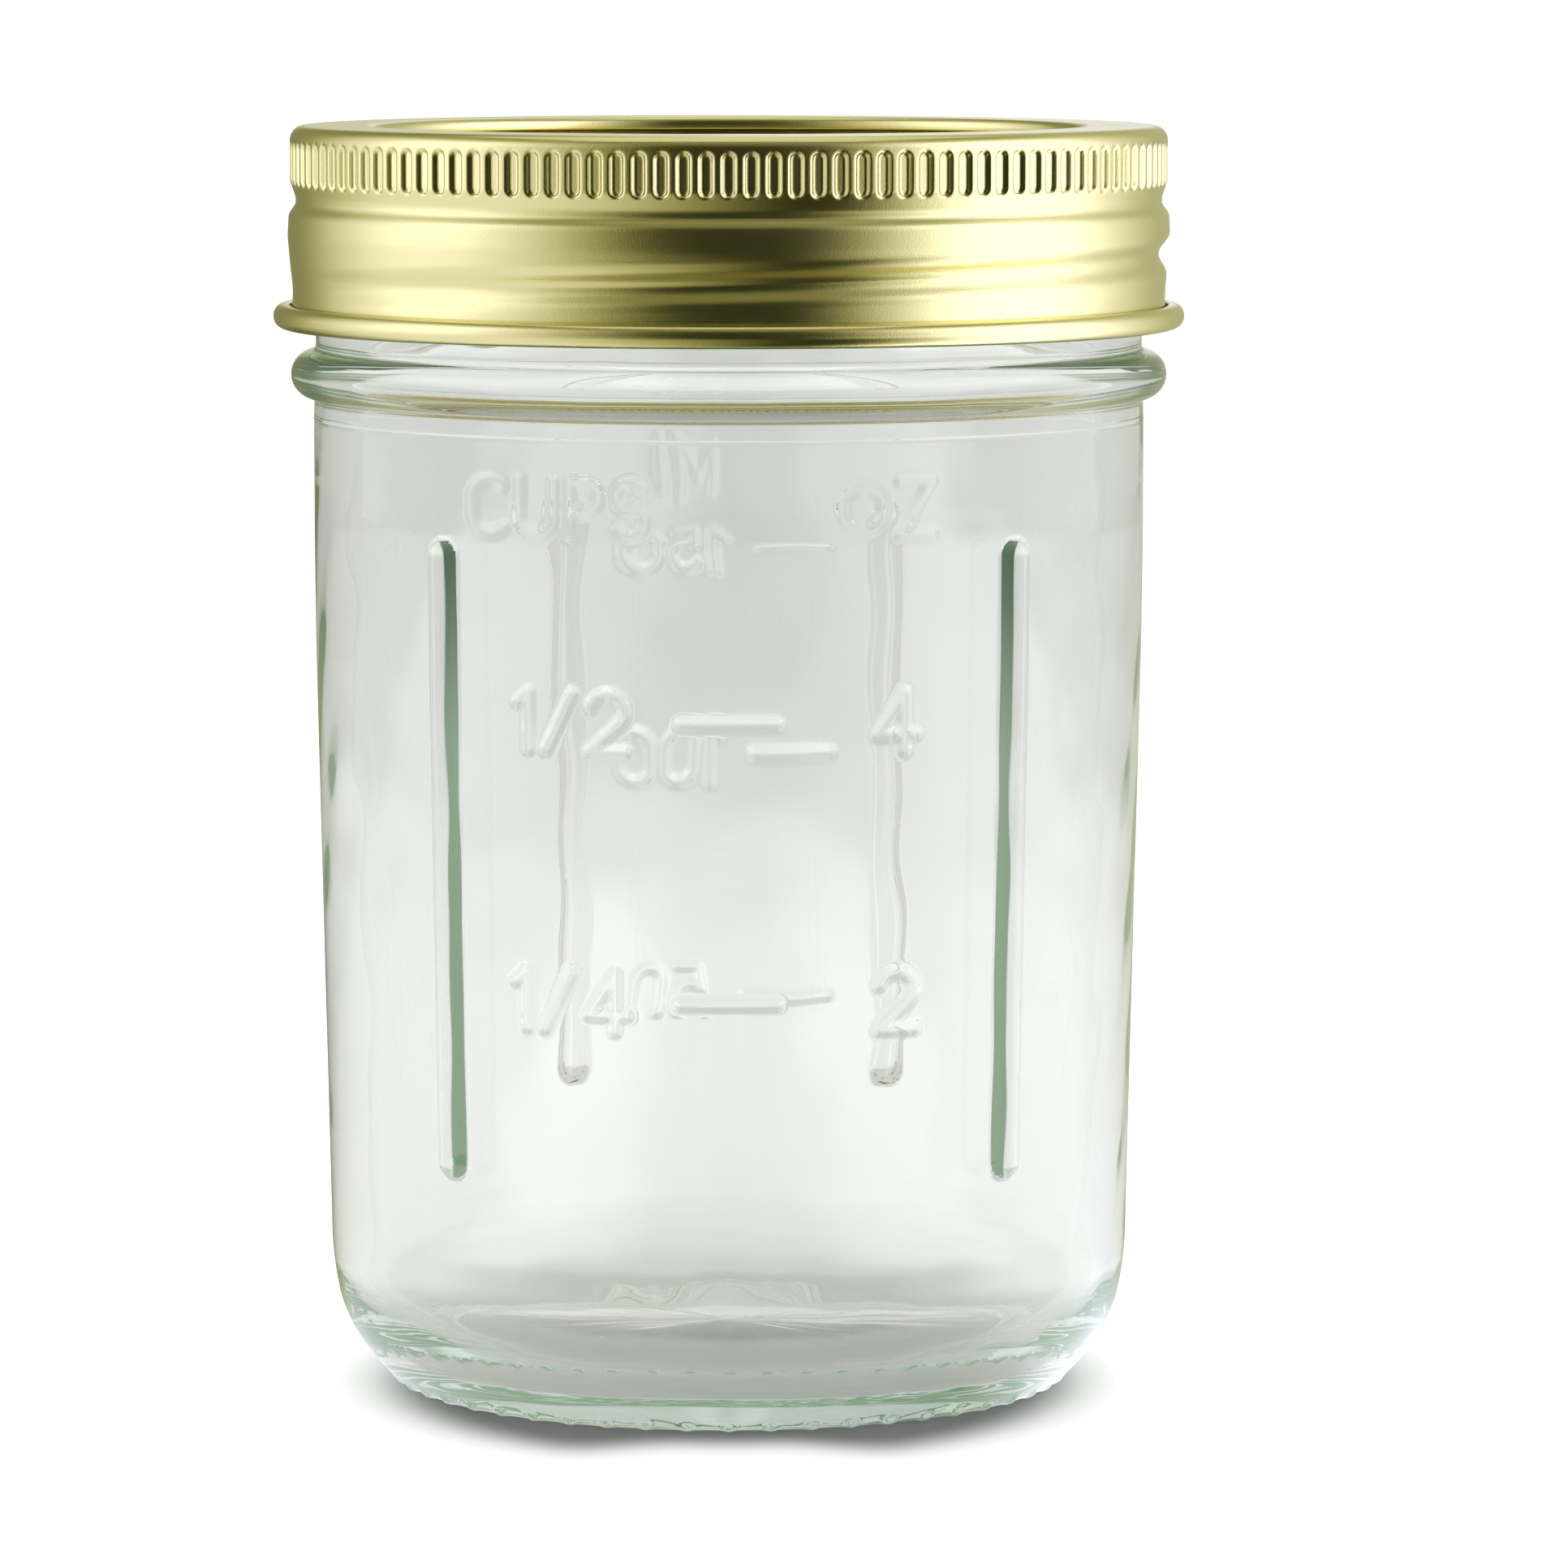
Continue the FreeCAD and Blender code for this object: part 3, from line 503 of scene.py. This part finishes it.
def glass_outside(angle, path, normal):
    """The outside's points, with all that stands out from it, and how green the glass is at each."""
    radius, height = path[:, :1] + 0 * angle, path[:, 1:] + 0 * angle
    front_ribs = ribs(angle, radius, height, (-RIB_ANGLE_FRONT, RIB_ANGLE_FRONT))
    back_ribs = ribs(angle, radius, height, (-RIB_ANGLE_BACK, RIB_ANGLE_BACK))
    wall = smooth((height - 8) / 8) * smooth((77 - height) / 3)
    stand = np.maximum(front_ribs, back_ribs)
    stand += marks(np.broadcast_to(angle, radius.shape), radius, height)
    stand += np.where(height > 84.5, neck_thread(angle, radius, height), 0)
    stand += stipple(angle, radius, height)
    stand += waviness(angle, height, size=0.03, laps=11, rise=0.12) * wall
    stand += SEAM_STAND * np.exp(-((height - SEAM_HEIGHT) / 0.12) ** 2) * (radius > 33)
    points = polar(radius + stand * normal[:, :1], angle, height + stand * normal[:, 1:])
    return points, smooth(2 * front_ribs) + 0.25 * smooth(2 * back_ribs)


def glass_inside(angle, path, normal):
    """The inside's points: uneven along the wall, and calm at the rim and in the middle of the floor."""
    radius, height = path[:, :1] + 0 * angle, path[:, 1:] + 0 * angle
    calm = smooth((96 - height) / 10) * smooth(radius / 12)
    broad = waviness(angle, height, size=0.16, laps=9, rise=0.12)
    fine = waviness(angle, height, size=0.045, laps=30, rise=0.8)
    stand = (broad + fine) * calm
    return polar(radius + stand * normal[:, :1], angle, height + stand * normal[:, 1:])


def make_glass():
    """The jar: its outline turned round the axis, outside and inside, as one closed surface."""
    outside, inside = glass_outline()
    angle = spread_angles(column_density, int(GLASS_COLUMNS / COARSE))[None, :]
    rows = pick_rows(outside, outside_spacing)
    outer, green = glass_outside(angle, at_rows(outside, rows), at_rows(outward(outside), rows))
    rows = pick_rows(inside, inside_spacing)
    inner = glass_inside(angle, at_rows(inside, rows), at_rows(outward(inside), rows))
    points, quads, fans = close_at_axis(np.vstack([outer, inner[1:]]))
    green = np.vstack([green, np.zeros((len(inner) - 1, angle.size))])
    green = np.concatenate([green[1:-1].ravel(), [0, 0]])
    return make_mesh("jar_glass", points, quads, fans, {"rib": green})


# ---------------------------------------------------------------- band

def band_path():
    """The middle of the band's sheet, from the hem's foot, over the flange and down to the curl's mouth."""
    half = SHEET / 2
    top, hem, wall, groove = 101.6 - half, 28.5 + half, 35.3 - half, 34.85 - half
    hem_bend, edge_bend = 0.55 - half, 1.15 - half
    curl = 35.8
    bend = 0.9 - half
    curl_mouth = 0.36
    return soften(trace([
        (hem, 100.55),
        (hem, top - hem_bend, hem_bend, -1),
        (hem + hem_bend, top),
        (wall - edge_bend, top, edge_bend, -1),
        (wall, top - edge_bend),
        (wall, 97.2),
        (groove, 95.9),
        (groove, 95.3),
        (35.45 - half, 94.5),
        (35.52 - half, 92.8),
        (35.32 - half, 90.4),
        (35.15 - half, 88.3),
        (curl - bend, 87.3),
        (curl - bend, CURL_FOOT, bend, 1),
        (curl, CURL_FOOT - bend, bend, 1),
        (curl + bend, CURL_FOOT),
        (curl + bend, CURL_HEAD, bend, 1),
        (curl, CURL_HEAD + bend, bend, 1),
        (curl - curl_mouth, CURL_HEAD + math.sqrt(bend**2 - curl_mouth**2)),
    ], METAL_STEP), 0.12, METAL_STEP)


def roll(angle, height):
    """How far the thread is rolled in: a valley climbing the right-handed thread, fading at its ends."""
    depth = np.zeros(np.broadcast(angle, height).shape)
    for lap in range(-1, 2):
        share = ((angle - ROLL_FOOT_ANGLE) % TURN) / TURN + lap
        fade = smooth((share + 0.03) / 0.28) * smooth((ROLL_TURNS - share) / 0.22)
        away = np.abs(height - ROLL_FOOT_HEIGHT - PITCH * share) / ROLL_HALF_WIDTH
        valley = np.where(away < 1, np.cos(away * math.pi / 2) ** 2, 0)
        depth = np.maximum(depth, ROLL_DEPTH * fade * valley)
    return depth


def knurl(angle, radius, height):
    """How far the round-ended flutes are pressed in."""
    pitch = TURN / KNURL_COUNT
    across = ((angle / pitch + 0.5) % 1 - 0.5) * pitch * radius
    past = height - np.clip(height, KNURL_LOW, KNURL_HIGH)
    away = np.hypot(across, past)
    return KNURL_DEPTH * smooth((KNURL_EDGE - away) / (KNURL_EDGE - KNURL_FLOOR))


def make_band():
    """The band: both faces of its sheet, with the flutes and the thread pressed in."""
    middle = band_path()

    def spacing(radius, height):
        knurled = (radius > 34) & (height > 96.4) & (height < 100.8)
        return np.where(knurled, 0.14, np.where((radius > 35.3) & (height < 87.6), 0.2, 0.28))

    rows = pick_rows(middle, spacing)
    path = at_rows(middle, rows)
    normal = -at_rows(outward(middle), rows)
    angle = even_angles(int(KNURL_COLUMNS / COARSE) * KNURL_COUNT)
    faces = []
    for side in (1, -1):
        radius = path[:, :1] + side * SHEET / 2 * normal[:, :1] + 0 * angle
        height = path[:, 1:] + side * SHEET / 2 * normal[:, 1:] + 0 * angle
        wall = (path[:, :1] > 34.4) & (path[:, 1:] > 87.7)
        pressed = knurl(angle, radius, path[:, 1:]) + roll(angle, path[:, 1:])
        faces.append(polar(radius - np.where(wall, pressed, 0), angle, height))
    points = np.vstack([faces[0], faces[1][::-1]])
    quads = ring_quads(len(points), angle.size, True)
    return make_mesh("band_metal", points.reshape(-1, 3), quads[:, ::-1])


# ---------------------------------------------------------------- lid and seal

def make_lid():
    """The lid: a raised button and a bead in the panel, a channel over the rim and a short skirt."""
    top, panel, skirt_foot, sheet = 101.25, 99.9, 100.3, 0.22
    button, rise, edge = 20.0, 0.5, 1.6
    bead, bead_rise, bead_half = 24.6, 0.22, 0.6
    radius, bend = 34.1, 0.6
    over = [
        (0, panel + rise),
        (button - edge, panel + rise),
        (button, panel),
        (bead - bead_half, panel),
        (bead, panel + bead_rise),
        (bead + bead_half, panel),
        (29.05, panel),
        (29.55, top),
        (radius - bend, top, bend, -1),
        (radius, top - bend),
        (radius, skirt_foot),
    ]
    upper = soften(trace(over, METAL_STEP), 0.12, METAL_STEP)
    rows = pick_rows(upper, lambda radius, height: np.where(radius < 17, 1.5, 0.2))
    path, normal = at_rows(upper, rows), -at_rows(outward(upper), rows)
    path[0, 0] = 0
    normal[0] = (0, 1)
    under = path - normal * sheet
    outline = np.vstack([under, path[::-1]])
    points, quads, fans = close_at_axis(turned(outline, even_angles(int(LID_COLUMNS / COARSE))))
    return make_mesh("lid_metal", points, quads, fans)


def make_seal():
    """The flowed-in ring of sealing compound, with its lower corners cut off."""
    inner, outer, top, foot, corner = 30.1, 33.4, 101.03, 100.45, 0.2
    row_spacing, rounding = 0.12, 0.06
    outline = [
        (inner, top),
        (inner, foot + corner),
        (inner + corner, foot),
        (outer - corner, foot),
        (outer, foot + corner),
        (outer, top),
        (inner, top),
    ]
    path = soften(trace(outline, METAL_STEP), rounding, METAL_STEP)
    path = at_rows(path, pick_rows(path, lambda radius, height: 0 * radius + row_spacing))[:-1]
    angle = even_angles(int(SEAL_COLUMNS / COARSE))
    quads = ring_quads(len(path), angle.size, True)
    return make_mesh("seal_compound", turned(path, angle).reshape(-1, 3), quads[:, ::-1])


# ---------------------------------------------------------------- materials

class Nodes:
    """A small shorthand for wiring shader nodes: arguments are numbers, colours or other nodes' outputs."""

    def __init__(self, owner):
        owner.use_nodes = True
        self.tree = owner.node_tree
        self.tree.nodes.clear()

    def add(self, kind, output=None, settings=None, **inputs):
        """A new node, or its named output; settings are the node's own properties."""
        made = self.tree.nodes.new("ShaderNode" + kind)
        for key, value in (settings or {}).items():
            setattr(made, key, value)
        for key, value in inputs.items():
            self.feed(made.inputs[key.replace("_", " ")], value)
        return made if output is None else made.outputs[output]

    def feed(self, socket, value):
        if isinstance(value, bpy.types.NodeSocket):
            self.tree.links.new(value, socket)
        else:
            socket.default_value = value

    def math(self, operation, *values):
        made = self.tree.nodes.new("ShaderNodeMath")
        made.operation = operation
        for socket, value in zip(made.inputs, values):
            self.feed(socket, value)
        return made.outputs[0]

    def ramp(self, value, start, end, low=0.0, high=1.0):
        """An eased change from low to high while the value goes from start to end."""
        made = self.add("MapRange", settings={"interpolation_type": "SMOOTHSTEP"}, Value=value)
        for key, number in (("From Min", start), ("From Max", end), ("To Min", low), ("To Max", high)):
            self.feed(made.inputs[key], number)
        return made.outputs["Result"]

    def mix(self, share, first, second):
        """A blend of two numbers."""
        return self.math("MULTIPLY_ADD", share, self.math("SUBTRACT", second, first), first)

    def blend(self, share, first, second):
        """A blend of two colours."""
        made = self.tree.nodes.new("ShaderNodeMix")
        made.data_type = "RGBA"
        sockets = [made.inputs[0]] + [i for i in made.inputs if i.type == "RGBA"]
        for socket, value in zip(sockets, (share, first, second)):
            self.feed(socket, value)
        return next(o for o in made.outputs if o.type == "RGBA")

    def shader_mix(self, share, first, second):
        """A blend of two shaders."""
        made = self.add("MixShader", Fac=share)
        self.feed(made.inputs[1], first)
        self.feed(made.inputs[2], second)
        return made.outputs["Shader"]

    def distance(self, place, centre=(0.0, 0.0, 0.0)):
        """How far a place is from a fixed point."""
        made = self.add("VectorMath", settings={"operation": "DISTANCE"})
        self.feed(made.inputs[0], place)
        self.feed(made.inputs[1], centre)
        return made.outputs["Value"]

    def bump(self, strength, distance, height):
        return self.add("Bump", "Normal", Strength=strength, Distance=distance, Height=height)

    def ray(self, kind):
        return self.add("LightPath", f"Is {kind} Ray")

    def mirrored(self):
        """1 for a ray that a surface has just reflected, and 0 for a refracted one, which is glossy too."""
        kept = self.math("SUBTRACT", 1.0, self.ray("Transmission"))
        return self.math("MULTIPLY", self.ray("Glossy"), kept)

    def noise(self, scale, detail=2.0, roughness=0.5):
        place = self.add("TexCoord", "Object")
        return self.add("TexNoise", "Fac", Vector=place, Scale=scale, Detail=detail, Roughness=roughness)

    def azimuth(self, vector):
        """The angle around the jar of a direction or place, in radians from the camera, and its height."""
        split = self.add("SeparateXYZ", Vector=vector)
        towards_camera = self.math("MULTIPLY", split.outputs["Y"], -1.0)
        return self.math("ARCTAN2", split.outputs["X"], towards_camera), split.outputs["Z"]


def new_material(name):
    material = bpy.data.materials.new(name)
    return material, Nodes(material)


def guided_light(n):
    """Light caught between the wall's two faces, as in the ribs, has come a long way through the glass. After
    a few reflections it is shown as the tone such a path ends in: 1 where that applies, and the tone."""
    wall_foot, wall_head = 0.019, 0.073
    most_in_heel, most_in_wall, most_in_far_wall = 24.5, 3.5, 2.5
    crossings_before_far_wall = 2.5
    height = n.add("SeparateXYZ", "Z", Vector=n.add("TexCoord", "Object"))
    above_heel = n.math("GREATER_THAN", height, wall_foot)
    below_shoulder = n.math("LESS_THAN", height, wall_head)
    near_limit = n.mix(n.math("MULTIPLY", above_heel, below_shoulder), most_in_heel, most_in_wall)
    crossings = n.add("LightPath", "Transmission Depth")
    far_wall = n.math("GREATER_THAN", crossings, crossings_before_far_wall)
    limit = n.mix(far_wall, near_limit, most_in_far_wall)
    caught = n.math("GREATER_THAN", n.add("LightPath", "Glossy Depth"), limit)
    near_tone = n.blend(n.ramp(height, 0.05, 0.069), GUIDED_LOW, GUIDED_HIGH)
    return caught, n.add("Emission", "Emission", Color=n.blend(far_wall, near_tone, GUIDED_FAR))


def glass_material():
    """Clear soda-lime glass, greener in the ribs. Lamps and the paper see it as a pale veil."""
    material, n = new_material("clear_glass")
    rib = n.add("Attribute", "Fac", {"attribute_name": "rib"})
    clear = n.add("BsdfPrincipled", "BSDF", Base_Color=n.blend(rib, CLEAR_TINT, RIB_TINT),
                  Specular_Tint=GLASS_SHEEN, Transmission_Weight=1.0, Roughness=0.0, IOR=1.51)
    # A painted glow replaces light that stays caught too long between the glass's faces.
    caught, guided = guided_light(n)
    glass = n.shader_mix(caught, clear, guided)
    veil = n.add("BsdfTransparent", "BSDF", Color=(0.87, 0.88, 0.87, 1))
    unseen = n.math("MAXIMUM", n.ray("Shadow"), n.ray("Diffuse"))
    body = n.add("VolumeAbsorption", "Volume", Color=GLASS_DEPTH, Density=7.0)
    n.add("OutputMaterial", Surface=n.shader_mix(unseen, glass, veil), Volume=body)
    return material


def gold_finish(n):
    """Satin pale gold lacquer on tinplate: fine grain, soft highlights, slightly uneven sheen."""
    sheen = n.ramp(n.noise(90.0), 0.3, 0.7, 0.215, 0.255)
    grain = n.bump(0.35, 0.00002, n.noise(6500.0, 2.0, 0.6))
    tone = n.blend(n.noise(160.0, 3.0), *GOLD)
    return n.add("BsdfPrincipled", "BSDF", Base_Color=tone, Metallic=1.0, Roughness=sheen, Normal=grain)


def gold_material():
    material, n = new_material("gold_lacquer")
    n.add("OutputMaterial", Surface=gold_finish(n))
    return material


def lid_material():
    """Gold lacquer above and an off-white enamel on the side that faces the food."""
    material, n = new_material("lid_coatings")
    facing = n.add("SeparateXYZ", "Z", Vector=n.add("TexCoord", "Normal"))
    speckle = n.bump(0.2, 0.00002, n.noise(3500.0))
    enamel_tone = n.blend(n.noise(220.0), *ENAMEL)
    enamel = n.add("BsdfPrincipled", "BSDF", Base_Color=enamel_tone, Roughness=0.35, Normal=speckle)
    downward = n.ramp(facing, -0.35, -0.25, 1.0, 0.0)
    n.add("OutputMaterial", Surface=n.shader_mix(downward, gold_finish(n), enamel))
    return material


def seal_material():
    """Dull red-brown sealing compound."""
    material, n = new_material("seal_red")
    tone = n.blend(n.noise(900.0), *COMPOUND)
    grain = n.bump(0.3, 0.00003, n.noise(3000.0))
    compound = n.add("BsdfPrincipled", "BSDF", Base_Color=tone, Roughness=0.6, Normal=grain)
    n.add("OutputMaterial", Surface=compound)
    return material


def studio_level(n, azimuth, right, left):
    """How bright the tent is in reflections: dark at the camera, brighter to each side, dimmer behind."""
    left_of_camera = n.math("MULTIPLY", azimuth, -1.0)
    away = n.math("ABSOLUTE", azimuth)
    sides = n.math("MAXIMUM", n.ramp(azimuth, *right), n.ramp(left_of_camera, *left))
    falling = n.ramp(away, 1.6, 2.65, 0.0, 0.9)
    straight_behind = n.ramp(away, 2.9, 3.1, 0.0, 0.5)
    level = n.math("ADD", n.math("SUBTRACT", sides, falling), straight_behind)
    hot_centre = n.ramp(level, 1.05, 1.45, 0.0, 0.55)
    return n.math("MAXIMUM", n.math("ADD", level, hot_centre), LEAST_LEVEL)


def studio_tone(n, level):
    """Warm where the tent is dim and slightly cool where it is bright, as the lacquer shows it."""
    return n.blend(n.ramp(level, 0.1, 1.2), TENT_DIM, TENT_BRIGHT)


def shadow_reach(n, across, along):
    """What the contact shadow follows: the distance from the jar's axis, stretched sideways. It is a little
    longer straight in front and behind, where the jar focuses the light and the shadow is thinner."""
    sideways = n.math("MULTIPLY", across, 1.25)
    forwards = n.math("ADD", along, 0.004)
    squares = n.math("ADD", n.math("POWER", sideways, 2.0), n.math("POWER", forwards, 2.0))
    focus = n.ramp(across, 0.003, 0.014, 0.006, 0.0)
    return n.math("ADD", n.math("SQRT", squares), focus)


def paper_shade(n, place, across, radius, reach):
    """The paper's tone with painted light and shade: brighter painted lobes on the far paper, a painted shadow
    under the heel, and painted shade under the jar's floor as seen through the glass.
    """
    # Painted light: two brighter lobes on the far paper, one to each side behind the jar.
    painted_backdrop_lobes = n.math("SUBTRACT", n.ramp(across, 0.0, 0.07), n.ramp(across, 0.09, 0.17))
    albedo = n.mix(n.ramp(radius, 0.3, 0.6), 0.82, n.mix(painted_backdrop_lobes, 0.73, 0.84))
    # Painted shadow: camera rays see the paper darker under the jar's heel.
    painted_heel_shadow = n.mix(n.ray("Camera"), 1.0, n.ramp(reach, 0.029, 0.037, 0.3, 1.0))
    # Painted shade: seen through the glass, the paper under the jar's floor is darker.
    from_painted_shade = n.distance(place, (0.0, 0.008, 0.0))
    painted_floor_shade = n.mix(n.ray("Transmission"), 1.0, n.ramp(from_painted_shade, 0.011, 0.019, 0.46, 1.0))
    return n.math("MULTIPLY", albedo, n.math("MULTIPLY", painted_heel_shadow, painted_floor_shade))


def paper_glow(n, across, radius, reach):
    """Glow added to the paper: a lift that makes the floor white but fades out near the jar, which paints the
    contact shadow, and a painted glow seen through the glass.
    """
    lift_with_painted_shadow = n.math("MULTIPLY", n.ray("Camera"), n.ramp(reach, 0.031, 0.042, 0.0, 0.45))
    # Painted light seen only through the glass: a glow on the paper near the jar, brighter in a lobe to each
    # side.
    painted_glow_lobes = n.math("SUBTRACT", n.ramp(across, 0.004, 0.018), n.ramp(across, 0.022, 0.034))
    through = n.math("MULTIPLY", n.ray("Transmission"), n.math("MULTIPLY_ADD", painted_glow_lobes, 0.12, 0.1))
    through = n.math("MULTIPLY", through, n.ramp(radius, 0.032, 0.045))
    through = n.math("MULTIPLY", through, n.ramp(radius, 0.2, 0.5, 1.0, 0.0))
    return n.math("ADD", lift_with_painted_shadow, through)


def floor_material():
    """White paper with a soft shadow under the jar, partly cast by the lighting and partly painted; in
    reflections it shows a painted reflection as bright as the tent above it.
    """
    material, n = new_material("white_paper")
    place = n.add("NewGeometry", "Position")
    split = n.add("SeparateXYZ", Vector=place)
    across = n.math("ABSOLUTE", split.outputs["X"])
    radius = n.distance(place)
    reach = shadow_reach(n, across, split.outputs["Y"])

    shade = paper_shade(n, place, across, radius, reach)
    tone = n.add("CombineColor", "Color", Red=shade, Green=shade, Blue=shade)
    lit = n.add("AddShader")
    n.feed(lit.inputs[0], n.add("BsdfDiffuse", "BSDF", Color=tone))
    n.feed(lit.inputs[1], n.add("Emission", "Emission", Strength=paper_glow(n, across, radius, reach)))

    # Painted reflection: in mirrored rays the paper shows the tent's level and tint instead of its lit tone.
    azimuth, _ = n.azimuth(place)
    near = studio_level(n, azimuth, NEAR_PAPER_RIGHT, NEAR_PAPER_LEFT)
    far = studio_level(n, azimuth, FAR_PAPER_RIGHT, FAR_PAPER_LEFT)
    level = n.mix(n.ramp(radius, 0.2, 0.45), near, far)
    reflected = n.add("Emission", "Emission", Color=studio_tone(n, level), Strength=level)
    surface = n.shader_mix(n.mirrored(), lit.outputs["Shader"], reflected)
    n.add("OutputMaterial", Surface=surface)
    return material


# ---------------------------------------------------------------- stage, lights, camera

def make_stage():
    """A white paper sweep: flat under the jar, curving up behind it."""
    front_edge, flat_to, bend, top, half_width = -1500.0, 1200.0, 500.0, 2200.0, 1800.0
    below_jar = 0.02
    profile = [(front_edge, 0.0)]
    for turn in np.linspace(0, math.pi / 2, 12):
        profile.append((flat_to + bend * math.sin(turn), bend - bend * math.cos(turn)))
    profile.append((flat_to + bend, top))
    points = np.array([(x, y, z - below_jar) for y, z in profile for x in (-half_width, half_width)])
    quads = [(2 * i, 2 * i + 1, 2 * i + 3, 2 * i + 2) for i in range(len(profile) - 1)]
    sweep = make_mesh("paper_sweep", points, np.array(quads))
    sweep.data.materials.append(floor_material())


def softbox(name, place, size, radiance):
    """A square studio light aimed at the jar's middle."""
    lamp = bpy.data.lights.new(name, "AREA")
    lamp.size = size
    lamp.energy = radiance * math.pi * size * size
    thing = bpy.data.objects.new(name, lamp)
    thing.location = place
    thing.rotation_euler = (Vector((0, 0, 0.06)) - thing.location).to_track_quat("-Z", "Y").to_euler()
    bpy.context.scene.collection.objects.link(thing)


def make_world():
    """A white tent, open towards the camera. A dark card at each side is only seen bent through the glass."""
    world = bpy.data.worlds.new("studio")
    bpy.context.scene.world = world
    n = Nodes(world)
    azimuth, up = n.azimuth(n.add("TexCoord", "Generated"))
    away = n.math("ABSOLUTE", azimuth)
    level = studio_level(n, azimuth, SKY_RIGHT, SKY_LEFT)
    mirrored = n.mix(n.ramp(up, 0.55, 0.9), level, OVERHEAD)
    card = n.math("SUBTRACT", n.ramp(away, 1.0, 1.4), n.ramp(away, 1.7, 2.2))
    through = n.math("SUBTRACT", n.ramp(away, 0.5, 2.4, 0.6, 0.85), n.math("MULTIPLY", card, 0.5))
    strength = n.mix(n.ray("Glossy"), 0.95, mirrored)
    strength = n.mix(n.ray("Transmission"), strength, through)
    strength = n.mix(n.ray("Camera"), strength, 1.0)
    tone = n.blend(n.ray("Glossy"), WHITE, studio_tone(n, mirrored))
    tone = n.blend(n.ray("Transmission"), tone, WHITE)
    sky = n.add("Background", "Background", Color=tone, Strength=strength)
    n.add("OutputWorld", Surface=sky)
    world.cycles.sampling_method = "NONE"


def make_camera():
    """The photograph's viewpoint: a little above the lid and 0.63 m in front, looking slightly down."""
    lens = bpy.data.cameras.new("camera")
    lens.sensor_width = 36.0
    lens.lens = 180.3
    lens.shift_x = 0.0352
    lens.clip_start = 0.01
    camera = bpy.data.objects.new("camera", lens)
    camera.location = (0, -0.634, 0.1171)
    camera.rotation_euler = (math.radians(90 - 6.2), 0, 0)
    bpy.context.scene.collection.objects.link(camera)
    bpy.context.scene.camera = camera


# ---------------------------------------------------------------- assembly

def place(thing, body, stands_for, material, finish):
    thing.data.materials.append(material)
    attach(thing, body)
    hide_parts(stands_for)


gold = gold_material()
place(make_glass(), "jar", "glass_jar", glass_material(), "clear_glass")
place(make_band(), "band", "screw_band", gold, "gold_steel")
place(make_lid(), "lid", "lid_disc", lid_material(), "coated_steel")
place(make_seal(), "lid", "sealing_ring", seal_material(), "seal_compound")

make_stage()
make_world()
softbox("top_box", (0, 0.25, 1.4), 1.2, 0.6)
make_camera()
scene = bpy.context.scene
scene.view_settings.view_transform = "Standard"
# The bounce limits are raised so that light which the thick glass guides round the heel and along the ribs is
# followed far; where it stays caught past the glass material's limit, a painted glow is shown instead.
scene.cycles.max_bounces = LIGHT_BOUNCES
scene.cycles.glossy_bounces = LIGHT_BOUNCES
scene.cycles.transmission_bounces = LIGHT_BOUNCES
